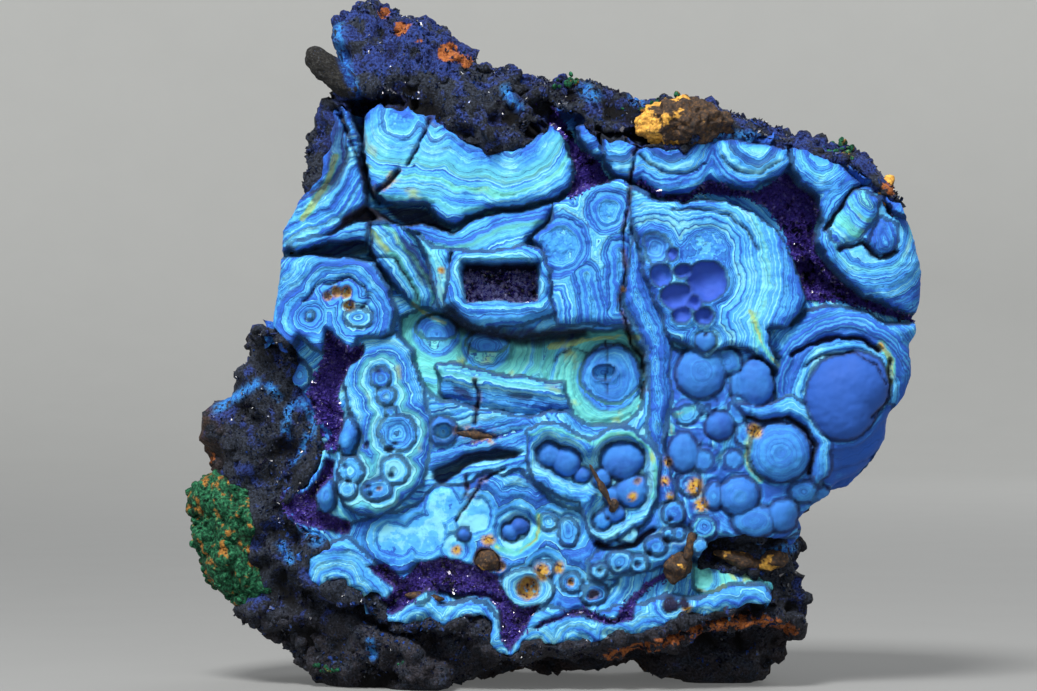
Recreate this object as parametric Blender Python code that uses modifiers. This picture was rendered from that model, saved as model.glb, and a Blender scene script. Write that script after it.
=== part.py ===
"""Azurite specimen: a banded azurite face grown in a dark goethite rock that stands on two flat feet.

Every place on the face is given on a sheet in millimetres: across from the left, down from the top.
The sheet stands upright as the XZ plane, its foot line at z = 0, and depth runs along +Y.
"""
from collections import namedtuple

import bmesh
import bpy
import numpy as np

MM = 0.001
SHEET_CENTRE = 110.9     # across, falls on x = 0
SHEET_FOOT = 138.2       # down, falls on z = 0
DATUM_Y = -25.8          # where the face's zero height lies
ROCK_DEPTH = 55.0        # from the face's zero height to the back
AZURITE_BACK = 20.0      # depth of the azurite behind the face's zero height
CRUST_BACK = 12.0        # depth of the crystal crusts in the valleys
MALACHITE_BACK = 23.0
IN_FRONT = -30.0         # cutters start this far before the face
GAP = 0.3                # between neighbouring solids

REMESH_STEP = 0.7
ROCK_TRIANGLES, LUMP_TRIANGLES, CUP_TRIANGLES, FINGER_TRIANGLES = 5600, 500, 420, 240
ROLL_WIDTH, ROLL_DEPTH = 8.0, 4.5      # how the face rolls back to its silhouette
BACK_TAPER = 0.2                       # how much narrower the rock is at its back
BACK_DOME = 7.0                        # how far the back bulges
SIDE_LUMPS = 3.6                       # how far the sides bulge in and out
FACE_LUMPS = 2.0
LEDGE_HALF_WIDTH = 0.35
PIT_STEEPNESS = 1.2

POCKET = ((92.4, 52.4), (108.0, 52.2), (107.6, 60.4), (93.0, 60.6))
POCKET_FLOOR = 14.0
CUP_HEIGHT, CRUST_THICKNESS, CRYSTAL = 7.0, 1.3, 0.75      # of the pocket's lining
LIMONITE_CENTRE, LIMONITE_RADII = (136.9, 24.3, 2.5), (9.2, 5.6, 4.6)
FINGER_CENTRE, FINGER_RADII = (68.2, 15.0, 8.5), (3.4, 3.6, 8.6)
FINGER_LEAN = -0.9       # radians, its top leans to the left
FEET = [(73.0, 24.0, 15.0, 21.0), (144.5, 34.0, 13.0, 16.0)]    # across, depth, half width, half depth
FOOT_DROP = 3.4
FOOT_HEIGHT = 12.0

Panel = namedtuple("Panel", "name height tilt slope seeds outline")
Hollow = namedtuple("Hollow", "name floor outline")
Basin = namedtuple("Basin", "name height outline")
Mound = namedtuple("Mound", "across down half_width half_height rise")
Crack = namedtuple("Crack", "name width depth points")

SILHOUETTE = [(67.2, 5), (69, 2.4), (71.5, 1.4), (74.4, .8), (78.4, 2.4), (85, 4.4), (90.5, 8),
    (93.4, 11), (94, 13), (100, 14), (108, 15.4), (112, 14.4), (116, 15.6), (120, 17.2), (128, 19.2),
    (133.6, 19.4), (141, 20), (147, 22.5), (154, 25.4), (162.4, 27.6), (167, 28.8), (171.5, 30.5),
    (175, 33.4), (178.6, 36.6), (180.5, 41), (183, 46.5), (185, 54), (184.8, 60), (183.8, 64), (184, 66),
    (182.4, 69), (182.8, 75), (181, 79.5), (178, 83), (177.6, 88), (175, 92.4), (172, 95), (168, 96.5),
    (166, 99.2), (163, 101), (160, 104), (160, 109), (159.5, 113), (158.5, 115.5), (161.5, 121),
    (161, 125), (158.5, 129), (157, 132.5), (154.5, 134.5), (153.8, 137), (151, 138.4), (147, 139.5),
    (140, 139.5), (135, 136.5), (131, 136), (128.5, 132.8), (124, 133.8), (118, 135), (112, 134.4),
    (104, 134.8), (96, 136.4), (90, 137.5), (84, 139.5), (79, 139.5), (76.5, 137), (66, 136.6),
    (62.4, 135.6), (59.5, 132), (56, 130), (53.5, 127.5), (50, 126.4), (46.5, 124), (45.6, 121.6),
    (47.5, 119.5), (43, 118.4), (41, 116), (39.6, 113.5), (40, 110.5), (38, 108), (39.4, 105),
    (36.8, 103), (37.4, 99.5), (41, 96), (40.5, 92.5), (39, 88.5), (38.8, 84), (43, 81), (46.5, 77),
    (45.8, 74.6), (49.8, 72), (49, 68.5), (51.6, 66), (54.2, 66.4), (54.6, 63), (55.6, 56), (56, 50),
    (56.2, 46), (59, 41), (61, 36), (61.8, 29), (63, 23), (64.5, 21), (66.5, 18), (67, 11)]
AZURITE = [(68, 20.5), (72.5, 22.5), (76, 19.5), (78, 21), (83.5, 22), (89.5, 24.5), (93.5, 28),
    (98, 30.5), (104.5, 29.5), (108, 26.5), (111, 21.5), (115.5, 24), (119, 26.5), (124, 28), (130, 29.5),
    (137, 29.8), (140, 27.5), (146, 28), (152, 29), (158, 30), (165.3, 30.5), (171, 35.5), (175.5, 38.5),
    (178, 43), (183, 45), (196, 48), (196, 66), (194, 80), (190, 88), (186, 95), (178, 101), (171, 105),
    (165, 109.5), (158, 109.5), (151, 108.5), (146, 108), (143, 109), (141, 112), (139.5, 114),
    (140, 118), (146, 117), (153, 118), (154, 120.5), (148.5, 120), (146, 121.3), (142, 122.5),
    (138.5, 122), (135, 123.5), (132.5, 125.5), (126, 127.3), (123, 125.5), (119.5, 128), (115, 127),
    (110, 127.7), (106.5, 125.5), (104.5, 127), (102, 131.3), (98.7, 130.6), (97, 128), (97, 124),
    (94, 123), (90, 124.5), (87.5, 123), (84, 122.5), (80, 125), (77, 125), (74.5, 119), (70, 117),
    (66, 117.5), (61.5, 115.5), (62, 111), (65, 108.7), (60, 106), (56, 103), (55.5, 101.5), (60, 98),
    (62.5, 94), (64, 90), (63, 85), (60, 80), (57.5, 77), (59, 72.5), (56, 70.5), (52.5, 69.5), (46, 66),
    (46, 46), (50, 38), (52, 30), (56, 22), (64, 19.5)]
PANELS = [
    Panel("ground", 0, (0, 0), .12, [(96, 88, 4), (88, 96, 3), (120, 80, 4), (134, 90, 2), (112, 112, 2)],
        None),
    Panel("flank", -7, (.4, 0), 0, [(50, 100, 1)], [(32, 76), (45, 62), (56, 68), (62, 74), (63, 84),
        (62, 92), (56, 99), (56, 104), (61, 109), (61, 119), (70, 124), (80, 128), (90, 134), (90, 145),
        (32, 145)]),
    Panel("crest", -1, (0, .3), 0, [(80, 15, 1)], [(58, 4), (75, -4), (95, 3), (112, 10), (112, 21),
        (104, 29), (98, 30), (90, 24.5), (83, 21), (76, 19), (68, 20), (60, 16)]),
    Panel("upper_rim", -1, (0, .3), 0, [(150, 20, 1)], [(108, 10), (150, 16), (192, 28), (196, 46),
        (181, 45), (175, 38), (165, 30), (150, 28), (120, 26), (110, 22)]),
    Panel("lower_recess", -7, (0, 0), 0, [(150, 115, 1)], [(138, 109), (168, 108), (168, 130), (155, 122),
        (146, 117), (140, 118)]),
    Panel("underside", -16, (0, 0), 0, [(120, 140, 1)], [(93, 137), (99, 134.4), (104, 133.4),
        (120, 132.5), (128, 131), (135, 129.5), (145, 126), (155, 124), (168, 126), (168, 146),
        (91, 146)]),
    Panel("lower_strip", -2, (0, 0), 0, [(145, 126, 1)], [(128, 130.8), (130, 127.5), (142, 125),
        (153, 122), (158, 121), (161, 124), (160, 127), (155, 125), (145, 127), (136, 130)]),
    Panel("left_wing", -1, (.25, -.02), .1, [[(72.5, 36), (68, 43.5), (56, 49)]], [(64, 19), (69, 20),
        (71.5, 27), (72.2, 33), (73, 38), (73, 41), (68, 46), (60, 49.5), (55, 50.5), (44, 50), (50, 38),
        (54, 30), (58, 20)]),
    Panel("wing_shadow", -3, (.2, 0), .3, [[(70, 22), (70, 33), (63, 41)]], [(60, 21), (67.5, 21),
        (69.5, 26), (69, 32), (66.5, 36), (60, 39.5), (56, 39)]),
    Panel("festoon", 2.4, (0, .04), .3, [(80.5, 25.5, 1.5), (91, 27, 1.5), (98.5, 30, 2), (105, 30, 2.5),
        (86, 24, 1.2)], [(73, 22), (78, 20), (83.5, 21), (89.5, 23.5), (93.5, 27), (98, 29.5),
        (104.5, 28.5), (109.5, 24), (113, 27), (115, 32.5), (114, 37.5), (110.5, 39.8), (105, 41.2),
        (99, 41.4), (95, 43), (91, 45), (88, 43.5), (85, 41), (80, 40.4), (76.5, 40), (74, 38), (73, 34),
        (72.2, 29)]),
    Panel("lower_sheet", -.6, (0, .05), .15, [[(76, 42), (84, 43), (91, 45), (99, 41), (110, 39)]],
        [(73.5, 41.5), (79, 45.2), (84, 44), (90.5, 46.5), (95, 44), (99.5, 42.2), (105, 42),
        (110.8, 40.4), (109.5, 43.5), (106, 47.5), (104.5, 50), (97, 51), (90.5, 50.5), (87, 49.5),
        (83, 47), (78, 45.8), (75, 44)]),
    Panel("mid_left", -.2, (.05, 0), .15, [[(58, 52), (67, 47.5), (76, 46)]], [(66, 46.5), (70, 44.2),
        (74.5, 44.2), (79, 44.7), (79, 48), (73.5, 48.2), (66, 48.4), (59, 50.4), (57, 48.8), (60, 48)]),
    Panel("fan", -1.2, (-.08, -.15), .35, [[(72, 50), (77, 55), (80, 60)]], [(73.3, 44.6), (78.5, 44.6),
        (83.6, 46.5), (86, 52), (87.8, 58), (86.8, 62), (82.5, 61), (79, 57), (75, 52.5), (73.2, 49)]),
    Panel("fan_pillar", .8, (0, 0), .3, [[(84, 45), (88, 53), (90, 62)]], [(82.5, 46), (86.5, 49),
        (90.2, 50), (90, 57), (90.5, 61), (88, 62), (87, 57), (85.5, 51)]),
    Panel("ring_terrace", 1.6, (.05, .03), .16, [(69.7, 58.7, 1.2), (70.3, 61.2, 1.2), (66.5, 58.7, 1),
        (71.7, 63.4, 2.6), (62.2, 63.3, 1.1)], [(50, 51.5), (63, 50.9), (70, 51.5), (74.5, 52.5),
        (77.5, 57), (79, 62), (78.3, 66.5), (72, 69), (69.8, 71), (67, 68), (66, 66.5), (64.5, 70.5),
        (62, 69.5), (60, 67.5), (57, 70.5), (54.5, 67.5), (44, 66), (44, 52)]),
    Panel("pocket_housing", 2.2, (0, -.05), .3, [[(94, 54), (104, 53.5), (106, 57), (95, 57.5),
        (94, 54)]], [(90.6, 50), (98, 50.3), (104.5, 49), (108, 49.6), (110.5, 54), (110, 59), (112, 62),
        (105, 65), (97, 65.5), (92, 63.5), (88.5, 60.5), (89.6, 55)]),
    Panel("folds", .6, (0, 0), .22, [(112, 50, 3), (122, 42.5, 2.5), [(117, 55), (119, 64)], [(124, 50),
        (124, 62)]], [(110.5, 40.5), (114.5, 38.5), (118, 37), (124.5, 35.5), (130.5, 38.5), (126.5, 46),
        (125.5, 55), (124.6, 60), (126.6, 65.5), (119, 64.5), (112, 65), (110, 60.5), (110, 54),
        (108, 50), (106, 48), (110, 43.5)]),
    Panel("recess", -7, (0, .16), .03, [(87.1, 66.8, 3), (97, 69.5, 3), (122, 75.6, 5)], [(79.5, 63.5),
        (84, 61.5), (88.5, 62.5), (92, 65), (98, 66.5), (104, 67.5), (110, 66.5), (118, 65.8), (126, 66),
        (128.8, 70), (129.3, 76), (128.5, 82), (124, 85), (118, 85), (113, 82), (98, 78), (88, 80),
        (83.5, 77), (82, 72.5), (80, 68)]),
    Panel("block", -2.2, (0, -.05), .45, [[(89, 74), (100, 75.5), (112, 77.5)]], [(86.5, 73),
        (89.5, 72.5), (94, 73.6), (102.5, 75.3), (108, 75.9), (112.6, 76.4), (112.9, 78.7), (114.8, 82.6),
        (110.3, 82.3), (105.8, 83.7), (101.3, 82.9), (95.2, 81.8), (87.9, 79), (87.6, 75.9)]),
    Panel("cluster_left", 1.8, (-.02, .03), .25, [(76.1, 75.3, 2.3), (77.3, 79, 2), (78.1, 82.1, 1.2),
        (79.5, 86.7, 3.6), (70.3, 94, 2), (69.7, 97.4, 1.8), (78.9, 94, 2.4), (76.1, 98, 2.2)],
        [(71.5, 67.5), (76, 67.5), (79, 66.5), (82, 70), (84.5, 78), (86, 84.5), (86.5, 88), (85.5, 92),
        (84.5, 96.5), (81.5, 99.5), (77, 103), (72, 103), (69, 101), (67.5, 97), (67.5, 94), (68.5, 91.5),
        (71.5, 91.5), (72.5, 88), (70, 84), (69, 80), (68.3, 76), (69, 71.5)]),
    Panel("pool", -1.2, (0, -.03), .1, [(88.5, 101, 3), (94.5, 103, 3), (85, 107, 3.4), (91, 110, 2),
        (79, 108, 3), (103, 106, 3.5), (110, 104.5, 1.2), (114, 106, 2), (109, 114, 2), (105.5, 118, 2.5),
        (114.5, 116.7, .8)], [(83, 101), (87, 97), (93, 97), (97, 94.5), (101, 95.5), (104, 93.5),
        (107, 97), (112, 101), (118, 103), (122, 105.5), (124, 110), (124, 116), (120, 120), (115, 123),
        (108, 124), (100, 116), (93, 117), (88, 116), (84, 113), (80, 116), (77, 114), (73, 112),
        (69, 110), (68, 106), (73, 103.5), (79, 102.5)]),
    Panel("lump_rings", 1.2, (0, 0), -.25, [(109.8, 91, 2.4), (113.1, 92.4, 2.9), (116.2, 95, 1.5),
        (124.4, 92, 4.2), (126.5, 98.3, 3.5), (120.4, 95.8, 2), (122.8, 102.5, 2.2), (120.8, 104.2, 1.8)],
        [(105.3, 86), (109, 84.5), (114, 85.5), (118, 88), (122, 85.5), (126, 85.5), (129.8, 88.5),
        (131.8, 92), (132.3, 97), (131, 101.5), (128.5, 104.5), (124.5, 107.5), (121, 108.5), (118, 107),
        (116.5, 103), (116, 100.5), (112, 99.5), (107.5, 96.5), (105, 92)]),
    Panel("column", .3, (0, 0), .3, [[(126, 46), (127, 58), (131, 68), (131.5, 84), (134, 100)]],
        [(126.5, 46), (128.5, 54), (131, 60), (134, 66), (134.5, 76), (133.5, 84), (132.5, 88),
        (135.5, 98), (134.5, 104), (131.5, 101), (132, 92), (129.5, 86), (130, 80), (129.5, 70),
        (126.5, 64), (124.8, 60), (125.5, 54)]),
    Panel("sweep", 2.8, (0, 0), .2, [(141.3, 56.2, 4.6), (132.1, 55, 2.8), (135.2, 59.3, 3.4),
        (134.4, 50.8, 1.6), (136.2, 63, 2.2), (140.6, 63.2, 2.2), (140.9, 68.2, 3), (130.8, 49.6, 3.8),
        (141, 50.8, 4.2)], [(126.2, 37.4), (131.2, 39.7), (136.9, 41), (139.7, 39.9), (145.3, 40.2),
        (150.9, 42.5), (155.1, 45.8), (158.8, 51.7), (161, 57.3), (161.6, 60.5), (158.3, 64.5),
        (157, 66.5), (154.5, 66), (155.6, 74.2), (152, 71.5), (146, 69.5), (141, 71.5), (137, 69),
        (134, 68), (131, 60), (128.5, 54), (127, 47), (126, 42)]),
    Panel("dome_field", -.6, (0, 0), .05, [(140.2, 74.4, 4), (151.1, 76.4, 3), (155.9, 90.4, 6),
        (148, 99, 3.5)], [(133.8, 70), (137, 70), (141, 71.8), (146, 70), (150, 70), (153.5, 74.5),
        (155, 80.5), (157, 81.5), (162, 83), (164.5, 87), (165, 92), (165, 97), (166, 101), (163, 106),
        (158, 108), (150, 109), (145, 107.5), (141, 108.5), (136, 104.5), (135.5, 98), (133, 90),
        (134.3, 80)]),
    Panel("small_domes", .2, (0, 0), .3, [(134.8, 102.8, 2.2), (141, 105.3, 2.6), (135.7, 106.7, 1.4),
        (133.7, 106.7, 1.2), (140.2, 109.2, 1.6), (131.2, 109, 2), (123.9, 112.3, 2.6),
        (127.8, 112.7, 1.8), (119.8, 114.2, 1.6)], [(131, 101.5), (134, 100.5), (136, 104.5),
        (141, 108.5), (142.5, 109.5), (140, 112.5), (137, 110), (133, 113), (128, 114.5), (122, 116),
        (118, 116.5), (117.5, 112), (121, 108.8), (124.5, 107.5), (128.5, 104.5)]),
    Panel("big_dome_ledge", .8, (.03, 0), .35, [(169.4, 78.6, 8.4)], [(153.4, 66), (158.5, 65),
        (161.8, 62), (165.5, 60.8), (170, 61.8), (174.5, 62.9), (177.8, 64.4), (198, 65), (198, 84),
        (188, 90), (182, 96), (175, 100), (168.9, 98), (164.6, 97.5), (165.2, 92.5), (165.2, 86.9),
        (164.4, 84), (161.8, 82), (157.6, 81), (154.8, 80.4), (154.8, 75.7), (156.2, 71.5),
        (154.8, 69.5)]),
    Panel("right_lumps", .6, (-.12, 0), .32, [(175, 46, 5), (166, 33, 2)], [(158.1, 29), (165.3, 29.6),
        (171, 35), (175.7, 38), (178, 42), (183, 44), (198, 47), (198, 62.6), (183.9, 63), (178.4, 61.2),
        (172.9, 59.2), (168.8, 55.7), (165.7, 52.6), (163.6, 48.5), (163.3, 46.1), (164.3, 44.4),
        (163.6, 39.5), (160.5, 36.8), (158.1, 33.7)]),
    Panel("top_bowls", .4, (0, -.03), .3, [(133, 27, 2.5), (151, 27.5, 3), (124, 28, 1.5),
        (144, 27.5, 1.5)], [(120.4, 27), (127.3, 28), (137.2, 29), (138.7, 27), (145.6, 27.6),
        (157.8, 29), (158.1, 32.7), (157, 34.4), (150.9, 37.7), (145.7, 37), (142, 36), (138, 39),
        (132.6, 39), (128, 36.5), (123.4, 35), (121.1, 32.6)]),
    Panel("top_knob", 1.8, (0, 0), .3, [(117, 26, 1)], [(115.6, 24.5), (118.2, 23.6), (119.5, 27),
        (121.3, 31), (118.6, 31), (116, 28)]),
    Panel("bottom_scallops", -.4, (0, 0), .35, [[(60, 118), (66, 119), (72, 118.5), (76, 127), (90, 126),
        (96, 126), (98, 132), (104, 132), (107, 128), (126, 129.5), (140, 124.5), (154, 122.5)]],
        [(60, 110), (65, 108.5), (70, 107.5), (74, 111.5), (77, 115), (83, 114), (86.5, 118), (88, 121),
        (92, 120), (97, 120.5), (100, 123.5), (101.5, 128), (104, 123.5), (110, 121.5), (118, 123.5),
        (124, 121), (128, 121), (133, 119), (139, 119.5), (146, 117), (153, 117), (156, 121), (146, 123),
        (133, 127), (119, 130), (102, 133), (96, 131), (92, 126), (80, 127), (72, 122), (60, 118)]),
]
HOLLOWS = [
    Hollow("gap_under_festoon", -5, [(76.2, 40.4), (82.9, 41.2), (85.1, 41.6), (88.2, 44), (91, 45.5),
        (89, 46.4), (84.5, 44.4), (82, 45.2), (79.5, 44.4), (77, 42)]),
    Hollow("gap_brown", -6, [(72.8, 40.9), (74.5, 41.6), (78.7, 44.4), (74.5, 44.2), (70.3, 44.2),
        (65.5, 46.8), (68, 43.8), (70.5, 42)]),
    Hollow("gap_blue", -5, [(57.6, 48.9), (59.3, 50.4), (66, 48.6), (71.7, 47.7), (73.1, 48.4),
        (73.1, 50.6), (70.3, 51.3), (67.7, 50.9), (60.4, 51)]),
    Hollow("gap_fan", -3.4, [(79.5, 46.5), (83, 48.5), (86, 54), (87.6, 58.6), (84.5, 57), (82, 52.5)]),
    Hollow("gap_long", -5, [(85.9, 93.6), (89.8, 92.2), (93.2, 90.2), (95.7, 89.9), (99.7, 89.3),
        (104.2, 90.5), (103, 91.9), (96.9, 92.2), (93.5, 93.3), (91.8, 94.7), (88.1, 97.2),
        (86.5, 96.1)]),
    Hollow("gap_block_a", -3.8, [(90.2, 76.6), (93, 77.6), (95.2, 79.8), (93.5, 80), (90.5, 78.2)]),
    Hollow("gap_block_b", -3.8, [(100.5, 78.6), (104, 78.4), (107.5, 79.4), (106, 80.4), (102.5, 79.9)]),
    Hollow("valley_right", -8, [(151.9, 38.2), (157.8, 34), (160.2, 36.8), (163.3, 39.2), (164.3, 42.3),
        (163.3, 45.7), (163.6, 49.9), (166, 53.3), (168.8, 56.1), (172.9, 59.5), (178.4, 61.6),
        (184, 63.2), (184, 64.4), (175, 62), (168.1, 59.9), (161.9, 60.2), (160.5, 55), (158.8, 49.9),
        (157.1, 45.7), (154.3, 41.3), (150, 39.2), (145, 38.6), (140, 38.2), (137.5, 40), (134, 40),
        (131, 38.3), (127, 36.6), (128, 35.8), (133, 39), (138, 38.6), (142, 35.6), (147, 37.4)]),
    Hollow("valley_top", -5, [(106.6, 18.8), (110, 20.5), (113, 24), (115.5, 28.6), (119.6, 31.8),
        (122, 36), (118.5, 37), (116, 39), (113.8, 39.7), (115.2, 34), (114.2, 29), (110, 24.4),
        (107, 22)]),
    Hollow("valley_left", -7, [(65.4, 65.8), (70, 69.6), (72.7, 68.6), (72.4, 71.4), (69.7, 73.2),
        (68.4, 76.2), (67.5, 79.3), (68.4, 83), (68.1, 86), (67, 90), (64, 90), (63.5, 84.8),
        (62.3, 81.1), (61.1, 78.7), (63, 75), (64.5, 71), (65, 68)]),
    Hollow("hole_left", -7, [(56.5, 100.2), (60.4, 98.9), (63.2, 96.3), (64.8, 91.8), (66.8, 92.4),
        (66.6, 95.7), (63, 99.4), (63.4, 102.2), (66.8, 103.4), (70, 104.7), (69.7, 107.2), (64.8, 106.4),
        (58.4, 104.4), (55.9, 102.1)]),
    Hollow("channel_mid", -3.5, [(73, 113.5), (77, 113), (81, 115.5), (84.5, 112.5), (89, 111.6),
        (94, 113), (99.5, 115.5), (101, 119), (104, 122), (108, 121), (105.5, 124.5), (103.5, 128.5),
        (101.5, 131), (100, 127.5), (99.8, 122.5), (97.5, 119.8), (92, 119.5), (86, 118.4), (82, 121),
        (78, 123.6), (75.5, 120.5), (79, 118), (76, 116)]),
    Hollow("channel_low", -3, [(113, 123), (118, 121), (122, 119.4), (124.5, 116.5), (128, 114.6),
        (131.5, 113.6), (133, 115.5), (129, 117.5), (126.8, 119.5), (126.6, 122.6), (124, 123.4),
        (118.5, 123.6), (113, 125)]),
]
BASINS = [
    Basin("lump_basin", -1.4, [(106.8, 89.5), (109.5, 87.4), (113, 88.8), (117, 91), (120, 90),
        (121.6, 88), (125, 87.3), (128.3, 89), (129.4, 92.5), (129, 97), (130.2, 100), (128.5, 102.6),
        (125, 104.6), (121, 106.8), (118.6, 105.6), (118, 102), (119, 98.6), (115.5, 97.4), (111, 95.6),
        (107.6, 93)]),
    Basin("blue_bowl", -2.6, [(99.6, 107.6), (100.6, 104.6), (103.4, 102.6), (106.4, 103.2), (107, 105.4),
        (105, 108), (102, 109.2)]),
]
MOUNDS = [
    Mound(141.3, 56.2, 4.1, 4.1, -2.6),
    Mound(132.1, 55, 2.4, 2.4, -1.8),
    Mound(135.2, 59.3, 3.2, 2.7, -2),
    Mound(134.4, 50.8, 1.3, 1.5, -1.2),
    Mound(138.6, 60.6, 1.7, 1.5, -1.6),
    Mound(136.2, 63, 1.9, 1.8, -1.5),
    Mound(140.6, 63.2, 2, 1.8, -1.6),
    Mound(136.6, 54.2, 1.8, 1.4, -1.8),
    Mound(130.6, 49.6, 3.7, 3.4, -.8),
    Mound(140.9, 68.2, 2.1, 2, 1),
    Mound(140.2, 74.4, 5, 5.2, 3),
    Mound(145.4, 72.4, 3, 2.6, 1.6),
    Mound(151.1, 76.4, 3.7, 4.6, 2.4),
    Mound(147.5, 76.8, 2, 2.6, 1),
    Mound(144, 85.1, 2.8, 2.8, 2.4),
    Mound(136.8, 90.4, 2.9, 4.2, 1.8),
    Mound(155.9, 90.4, 6.3, 6.1, 4.6),
    Mound(148, 99.1, 4, 4, 3.4),
    Mound(143, 99.1, 2, 2.8, 1.8),
    Mound(151.1, 104.2, 4.8, 3.4, 2.6),
    Mound(156.8, 103.1, 3.3, 3.4, 2.6),
    Mound(137.5, 82.5, 2.8, 2.6, .8),
    Mound(141.5, 81, 2, 2, .6),
    Mound(147.6, 82, 2.2, 3.2, .9),
    Mound(149, 87, 2, 2.4, .8),
    Mound(141, 92, 2.6, 2.8, .9),
    Mound(146.5, 92, 2.2, 2.2, .8),
    Mound(138, 97, 2.2, 2.4, .7),
    Mound(160.8, 98.4, 3, 2.4, 1.4),
    Mound(164.5, 99.5, 2.4, 2.2, 1.2),
    Mound(169.4, 78.4, 8.2, 8.2, 4.2),
    Mound(171, 86.4, 5.2, 4.4, 2.6),
    Mound(168.5, 91, 3.6, 3.4, 1.4),
    Mound(173.5, 90.5, 3, 3.6, .8),
    Mound(134.8, 102.8, 2.4, 2.2, 1.3),
    Mound(141, 105.3, 2.7, 2.5, 1.3),
    Mound(135.7, 106.7, 1.5, 1.4, 1.1),
    Mound(133.6, 106.8, 1.3, 1.3, 1.1),
    Mound(140.2, 109.2, 1.7, 1.7, 1.6),
    Mound(131.2, 109.2, 2.2, 1.9, 1.5),
    Mound(123.9, 112.3, 2.7, 2.4, 1.6),
    Mound(127.8, 112.7, 1.9, 1.7, 1.4),
    Mound(119.8, 114.2, 1.7, 1.7, 1.2),
    Mound(109.8, 91, 2.6, 2.6, 2.2),
    Mound(113.1, 92.4, 3, 2.9, 2.4),
    Mound(116.4, 95, 1.7, 1.5, 1.4),
    Mound(124.4, 92, 4.3, 3.7, 2.6),
    Mound(126.5, 98.3, 3.5, 3.3, 2.2),
    Mound(120.4, 95.8, 1.9, 1.9, 1.8),
    Mound(122.6, 99.2, 1.8, 1.8, 1.4),
    Mound(122.8, 102.7, 2.2, 1.9, 1.6),
    Mound(120.4, 104.2, 1.9, 1.8, 1.6),
    Mound(125.9, 107.3, 2.2, 2, 1.4),
    Mound(71.9, 63.5, 2.7, 1.9, .9),
    Mound(62.2, 63.3, .9, .9, .6),
    Mound(76.1, 75.3, 2.3, 2.1, .8),
    Mound(77.3, 79, 2, 1.8, .8),
    Mound(78.1, 82.1, 1.3, 1.1, .6),
    Mound(79.5, 86.7, 3.9, 3.9, .9),
    Mound(79.2, 86.6, 1.7, 1.7, .9),
    Mound(70.3, 94, 2.5, 2.6, 1.4),
    Mound(69.7, 97.6, 2.1, 2.2, 1.2),
    Mound(78.9, 94, 3, 2.8, 1),
    Mound(75.6, 98, 3, 2.4, 1),
    Mound(88.6, 86.3, 3, 3, 2),
    Mound(88.6, 86.3, 1.9, 1.7, -2.2),
    Mound(59.6, 75.2, 2.4, 3, 1.6),
    Mound(66, 88.2, 1.7, 2.4, 3),
    Mound(65.1, 99.2, 2.1, 3.6, 5),
    Mound(69.6, 87.4, 2, 4, 4),
    Mound(87.1, 66.9, 3.6, 3.4, 1.2),
    Mound(97.4, 69.4, 3.4, 3, 1.2),
    Mound(122.2, 75.6, 6.2, 6.8, 1.6),
    Mound(102, 106.5, 1.8, 1.8, 2.2),
    Mound(103.9, 105.4, 1.8, 1.8, 2.4),
    Mound(92.8, 107, 1.3, 1.3, 1.8),
    Mound(109.5, 104.3, 2, 2, .6),
    Mound(113.6, 106.4, 2.2, 3.2, .7),
    Mound(105.5, 117.8, 5.4, 4.2, 1),
    Mound(114.4, 116.7, 2.2, 2, .9),
    Mound(118.6, 118.9, 2.8, 2.4, .9),
    Mound(108.8, 113.8, 2.4, 1.8, .9),
    Mound(93.5, 116.2, 2.6, 2.2, 2.2),
    Mound(84.2, 119.6, 1.8, 1.6, 1.2),
    Mound(101.6, 124.6, 1.8, 1.8, 1.6),
    Mound(88.5, 115.4, 3, 2, .9),
]
CRACKS = [
    Crack("needle_slot", .9, 1, [(91.6, 86.2), (95, 87), (98.8, 87.4)]),
    Crack("dome_arc", 1, 2.6, [(147.5, 82.6), (150.5, 83.8), (155, 83.6), (159.6, 84), (162.6, 87),
        (163.4, 91), (161.6, 96)]),
    Crack("big_dome_groove", 1.3, 3, [(158, 71.4), (161, 69.6), (165, 67.4), (170, 66.6), (175, 67.8),
        (177.8, 70.4), (178.6, 75), (176.4, 80.6)]),
    Crack("low_shadow", 1, 2.4, [(119.6, 109), (123, 109.6), (127, 108.8), (130.6, 105.6)]),
    Crack("low_step", 1, 2, [(100, 120.6), (97, 119), (91, 119.4), (88, 118.4)]),
]
PITS = [(65.6, 59.2, 1), (67.5, 58.4, 1.1), (69.6, 58.5, 1.2), (70.3, 61, 1.1), (105.5, 117.9, 2.3),
    (133.4, 107.8, .9), (118.4, 119.2, 1.1), (97.3, 112.4, 2.6), (99.8, 113.6, 1.2)]
MALACHITE = [(33, 94), (44, 95.5), (49, 99), (50.5, 106), (49, 113), (52.5, 119), (47, 122.5), (33, 122)]


# ---------------------------------------------------------------- noise and outlines

def lattice_value(i, j, k, seed):
    """A repeatable value from -1 to 1 for each whole-numbered place."""
    n = (i * 374761393 + j * 668265263 + k * 974634777 + seed * 1274126177) & 0xFFFFFFFF
    n = ((n ^ (n >> 13)) * 1103515245) & 0xFFFFFFFF
    n = ((n ^ (n >> 16)) * 747796405) & 0xFFFFFFFF
    return ((n >> 8) & 0xFFFF) / 32767.5 - 1.0


def noise(x, y, z, seed):
    cell = [np.floor(c).astype(np.int64) for c in (x, y, z)]
    part = [c - whole for c, whole in zip((x, y, z), cell)]
    ease = [c * c * c * (c * (6 * c - 15) + 10) for c in part]
    total = 0.0
    for corner in np.ndindex(2, 2, 2):
        share = 1.0
        for step, e in zip(corner, ease):
            share = share * (e if step else 1 - e)
        total = total + share * lattice_value(*(c + s for c, s in zip(cell, corner)), seed)
    return total


def rough(x, y, z, size, octaves, seed):
    """Fractal noise whose largest bumps are of this size."""
    total = 0.0
    for n in range(octaves):
        f = 2.0 ** n / size
        total = total + 0.5 ** n * noise(x * f + 17.3 * n, y * f - 5.1 * n, z * f, seed + n)
    return total / (2 - 0.5 ** (octaves - 1))


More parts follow.
